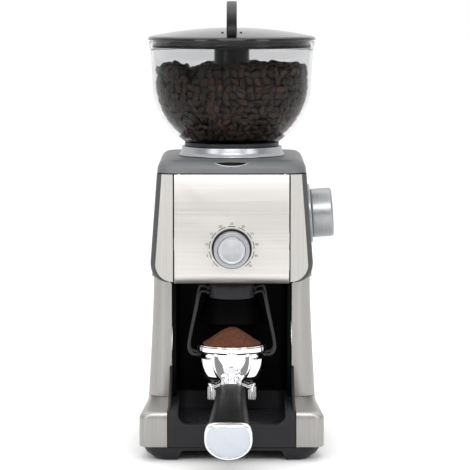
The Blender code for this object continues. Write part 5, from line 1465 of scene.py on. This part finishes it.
# %% Twin spout with knurled tips
def make_spout():
    low, half = FILTER_BASE_Z, 0.0185
    bottom = edge("portafilter_spout", LOW, "z")
    horn = [(half + 0.0004, bottom + 0.0112), (half, bottom + 0.0135), (half - 0.0030, low - 0.0082),
            (0.0095, low - 0.0060), (0, low - 0.0056)]
    route = [(-x, OUTLET_Y, z) for x, z in horn] + [(x, OUTLET_Y, z) for x, z in horn[-2::-1]]
    swept("spout_bow", route, 0.0044, CHROME, "portafilter", ["portafilter_spout"], 10, 28)
    stem = [(0, low - GAP), (0.0080, low - GAP, 0.0006), (0.0080, low - 0.0050, 0.0010),
            (0.0060, low - 0.0085, 0.001), (0, low - 0.0085)]
    spun("spout_stem", eased(stem, 0.0003), CHROME, "portafilter", at=(0, OUTLET_Y, 0))
    for side in (-1, 1):
        ridges, outline = 30, []
        for i in range(2 * ridges):
            r = 0.0050 if i % 2 else 0.00465
            a = math.pi * i / ridges
            outline.append((r * math.cos(a) + side * (half + 0.0004), r * math.sin(a) + OUTLET_Y))
        tip = slab("spout_tip_%d" % side, outline, bottom + 0.0002, bottom + 0.0125, CHROME, "portafilter")
        bevelled(tip, 0.0005, 2, 60)


make_spout()
print("spout tips reach", round(1000 * edge("portafilter_spout", LOW, "z"), 1), "mm above the table")

# %% [markdown]
# The handle leaves the cup at a slope. All of its sections lie square to that slope, round below and squarer
# on top, from the slim chrome neck and its ferrule to the thick end of the grip, where a chrome ring frames
# a satin end plate.

# %% Sections along the sloping handle
SLOPE, YAW = math.radians(15.4), math.radians(-1.2)
HANDLE_START = Vector((0, OUTLET_Y - FILTER_R, FILTER_RIM_Z - 0.0250))
AHEAD = Vector((math.sin(YAW) * math.cos(SLOPE), -math.cos(YAW) * math.cos(SLOPE), -math.sin(SLOPE)))
ACROSS = Vector((math.cos(YAW), math.sin(YAW), 0))
UP = ACROSS.cross(AHEAD) if ACROSS.cross(AHEAD).z > 0 else AHEAD.cross(ACROSS)
GRIP_START, GRIP_END = 0.037, 0.134


def section(s, half_w, half_h, power=2.0, flat=1.0, n=64):
    """Cross-section at a distance along the handle, round below; power squares its top, flat lowers it."""
    ring = []
    for i in range(n):
        c, d = math.cos(2 * math.pi * i / n), math.sin(2 * math.pi * i / n)
        bend = 2 / power if d > 0 else 1
        u = half_w * math.copysign(abs(c) ** bend, c)
        v = half_h * math.copysign(abs(d) ** bend, d)
        soft = 0.0022
        limit = half_h * flat
        v = v if v < limit - soft else limit - soft + soft * math.tanh((v - limit + soft) / soft)
        ring.append(HANDLE_START + AHEAD * s + ACROSS * u + UP * v)
    return ring


def make_handle():
    neck = [(-0.0020, 0.0112, 0.0090), (0.0014, 0.0110, 0.0088), (0.0030, 0.0100, 0.0082),
            (0.0070, 0.0086, 0.0073), (0.0120, 0.0079, 0.0070), (0.0158, 0.0078, 0.0070),
            (0.0160, 0.0092, 0.0080), (0.0166, 0.0099, 0.0086), (0.0230, 0.0101, 0.0087),
            (0.0236, 0.0096, 0.0083), (0.0242, 0.0101, 0.0087), (0.0330, 0.0106, 0.0091),
            (GRIP_START - GAP - 0.0006, 0.0108, 0.0092), (GRIP_START - GAP, 0.0102, 0.0087)]
    lofted("handle_neck", [section(*row) for row in neck], CHROME, "portafilter")
    keys = [(0.0, 0.0118, 0.0088, 2.2), (0.006, 0.0129, 0.0099, 2.25), (0.03, 0.0135, 0.0105, 2.3),
            (0.3, 0.0148, 0.0120, 2.4), (0.65, 0.0174, 0.0149, 2.6), (0.97, 0.0196, 0.0170, 3.0),
            (0.992, 0.0195, 0.0169, 3.0), (1.0, 0.0188, 0.0163, 3.0)]
    span, rings = GRIP_END - GRIP_START, []
    for (s0, *a), (s1, *b) in zip(keys, keys[1:]):
        steps = max(1, int((s1 - s0) * 30))
        for k in range(steps):
            t = k / steps
            rings.append(section(GRIP_START + span * (s0 + (s1 - s0) * t),
                                 *[p + (q - p) * t for p, q in zip(a, b)], 0.91))
    rings.append(section(GRIP_END, *keys[-1][1:], 0.91))
    lofted("handle_grip", rings, GRIP_BLACK, "portafilter", ["portafilter_grip"])
    end = GRIP_END + GAP
    ring = [(0, 0.0204, 0.0176), (0.0007, 0.0211, 0.0182), (0.0046, 0.0211, 0.0182),
            (0.0058, 0.0205, 0.0177), (0.0062, 0.0198, 0.0171), (0.0060, 0.0192, 0.0165),
            (0.0050, 0.0188, 0.0162)]
    plate = [(0.0046, 0.0186, 0.0160), (0.0054, 0.0185, 0.0159), (0.0057, 0.0178, 0.0153),
             (0.0060, 0.0120, 0.0103), (0.0061, 0.0050, 0.0043)]
    frame_rings, plate_rings = ([section(end + s, w, h, 3.2, 0.88) for s, w, h in rows]
                                for rows in (ring, plate))
    lofted("cap_ring", frame_rings, CHROME, "portafilter", ["portafilter_end_cap"])
    lofted("cap_plate", plate_rings, CAP_FACE, "portafilter", crease=60)


def make_boss():
    """The casting's pad round the neck: wide under the rim, round below, swelling towards the neck."""
    top, bottom, rings = FILTER_RIM_Z - 0.0062, FILTER_RIM_Z - 0.0345, []
    body = FILTER_RIM_R - 0.0030
    for reach, grow in ((-0.0040, 0.0), (0.0016, 0.0), (0.0030, 0.0009), (0.0037, 0.0026)):
        ring = []
        for i in range(49):
            t = math.pi * i / 48
            x = (0.0188 - grow) * math.cos(t)
            z = top - 0.4 * grow - (top - bottom - 1.2 * grow) * math.sin(t) ** 0.8
            y = OUTLET_Y - math.sqrt(body ** 2 - x * x) - reach
            ring.append((x, y, z))
        rings.append(ring)
    return bevelled(lofted("handle_boss", rings, CHROME, "portafilter", crease=50), 0.0006, 2, 40)


make_handle()
print("boss:", len(make_boss().data.polygons), "faces")

# %% [markdown]
# The dose is heaped above the basket's lip. Its cone has a coarse, crumbling surface, so the turned shape is
# disturbed by two scales of noise, and loose crumbs lie on its slope.

# %% Heap of ground coffee
def make_grounds(seed=5):
    rng, rim = random.Random(seed), FILTER_RIM_Z
    cup = FILTER_R - 0.0020
    bed, lip = cup - 0.0016, rim + 0.0016
    slopes = ((1.0, 0.0002), (0.92, 0.0012), (0.80, 0.0030), (0.66, 0.0056), (0.53, 0.0082), (0.40, 0.0106),
              (0.27, 0.0128), (0.12, 0.0145), (0.0, 0.0150))
    profile = [(0, rim - 0.0228), (cup - 0.0055, rim - 0.0226), (bed - 0.0003, rim - 0.0205),
               (bed, lip - 0.0006)]
    edge_r = bed + 0.0036
    for (s0, h0), (s1, h1) in zip(slopes, slopes[1:]):
        profile += [(edge_r * (s0 + (s1 - s0) * k / 5), lip + h0 + (h1 - h0) * k / 5) for k in range(5)]
    profile.append((0, lip + slopes[-1][1]))
    at = Vector((0, OUTLET_Y, 0))
    heap = spun("ground_heap", profile, GROUNDS, "portafilter", ["coffee_grounds"], 144, at, crease=180)
    for vertex in heap.data.vertices:
        p = vertex.co
        if p.z > lip + 0.0001:
            rough = 0.0007 * noise.noise(p * 330) + 0.0004 * noise.noise(p * 900)
            vertex.co = p + Vector((0, 0, rough - 0.0002))
    points, faces = [], []
    for _ in range(420):
        r, a = edge_r * math.sqrt(rng.random()) * 0.97, rng.uniform(0, 2 * math.pi)
        share, size = r / edge_r, rng.uniform(0.00022, 0.00048)
        height = next(h0 + (h1 - h0) * (s0 - share) / (s0 - s1)
                      for (s0, h0), (s1, h1) in zip(slopes, slopes[1:]) if s1 <= share <= s0)
        spot = at + Vector((r * math.cos(a), r * math.sin(a), lip + height))
        first = len(points)
        points += [spot + size * Vector([rng.uniform(0.6, 1.2) * v for v in corner]) for corner in
                   ((1, 0, 0), (-1, 0, 0), (0, 1, 0), (0, -1, 0), (0, 0, 1), (0, 0, -1))]
        faces += [(first + i, first + j, first + k) for i, j, k in
                  ((0, 2, 4), (2, 1, 4), (1, 3, 4), (3, 0, 4), (2, 0, 5), (1, 2, 5), (3, 1, 5), (0, 3, 5))]
    piece("loose_crumbs", points, faces, GROUNDS, "portafilter", crease=20)
    return len(points) // 6


print("crumbs:", make_grounds())

# %% [markdown]
# ## The works
# The burrs, gears, motor and board keep their mechanical solids, because their teeth must stay exactly in
# mesh. Each gets a finish of the material it is taken to be made of. A few of them show when the hopper is
# off.

# %% Finishes on the solids that are kept
KEPT = {
    CAST_METAL: ["gear_plate", "motor"],
    BURR_STEEL: ["bearing_lower", "bearing_upper", "drive_shaft", "motor_shaft", "grind_shaft",
                 "adjusting_ring", "burr_carrier", "ring_burr", "cone_burr"],
    GREY: ["grind_chamber"],
    NYLON: ["impeller", "idler_gear"],
    BOARD: ["circuit_board"],
}
for finish, nodes in KEPT.items():
    for name in nodes:
        mesh = frame["nodes"][name].data
        mesh.materials.clear()
        mesh.materials.append(finish)
shown = [name for name, node in frame["nodes"].items() if not node.hide_render]
print("kept solids:", sorted(shown), "without a finish:", sorted(set(shown) - set(sum(KEPT.values(), []))))

# %% [markdown]
# ## Camera and light
# A product picture is taken from far away with a long lens, so that upright edges stay upright. The floor is
# plain and pale. Two tall soft lights stand left and right of the camera, a wide one hangs in front and
# above, and a very soft light from the ceiling keeps the paper white. The room is darker towards the camera,
# which leaves a darker band in every round metal part and makes it look round.

# %% Camera, floor and lights
VIEW_ANGLE = math.radians(10.7)


def looking(made, at, aim):
    made.location = at
    made.rotation_mode = "QUATERNION"
    made.rotation_quaternion = (Vector(aim) - Vector(at)).to_track_quat("-Z", "Y")


def make_camera():
    lens = bpy.data.cameras.new("camera")
    lens.sensor_width = 36.0
    lens.lens = lens.sensor_width / 2 / math.tan(VIEW_ANGLE / 2)
    lens.clip_start, lens.clip_end = 0.1, 40.0
    camera = in_scene("camera", lens)
    looking(camera, (0.003, -2.353, 0.4314), (0.003, 0.0, 0.1965))
    bpy.context.scene.camera = camera


def make_floor():
    finish = bpy.data.materials.new("studio_paper")
    finish.use_nodes = True
    shader = finish.node_tree.nodes["Principled BSDF"]
    shader.inputs["Base Color"].default_value = (0.93, 0.93, 0.93, 1)
    shader.inputs["Roughness"].default_value = 0.9
    mesh = bpy.data.meshes.new("studio_floor")
    mesh.from_pydata([(-12, -12, 0), (12, -12, 0), (12, 12, 0), (-12, 12, 0)], [], [(0, 1, 2, 3)])
    mesh.materials.append(finish)
    in_scene("studio_floor", mesh)


def soft_light(name, at, aim, size, power):
    data = bpy.data.lights.new(name, "AREA")
    data.shape, data.size, data.size_y, data.energy = "RECTANGLE", size[0], size[1], power
    looking(in_scene(name, data), at, aim)


def ceiling_light(power):
    """A very soft light from straight above, which keeps the paper white out to the horizon."""
    data = bpy.data.lights.new("ceiling", "SUN")
    data.energy, data.angle = power, math.radians(100)
    in_scene("ceiling", data).location = (0, 0, 2)


def make_world():
    world = bpy.data.worlds.new("studio")
    world.use_nodes = True
    tree = world.node_tree
    back = tree.nodes["Background"]
    where = tree.nodes.new("ShaderNodeTexCoord")
    apart = tree.nodes.new("ShaderNodeSeparateXYZ")
    tree.links.new(where.outputs["Generated"], apart.inputs["Vector"])
    shade = spread(tree, apart.outputs["Y"], 0.30, 1.0, -0.35, 0.20)
    tree.links.new(tint(tree, shade, [(0.0, (0, 0, 0)), (1.0, (1, 1, 1))]), back.inputs["Color"])
    back.inputs["Strength"].default_value = 1.0
    bpy.context.scene.world = world


make_camera()
make_floor()
make_world()
for side, word in SIDES:
    soft_light(word + "_softbox", (side * 1.25, -1.35, 0.75), (0, 0, 0.20), (0.55, 1.1), 7)
soft_light("front_softbox", (0, -2.1, 1.55), (0, 0, 0.22), (1.5, 0.8), 26)
ceiling_light(1.5)
bpy.context.scene.view_settings.view_transform = "Standard"
print("camera and four lights in place")
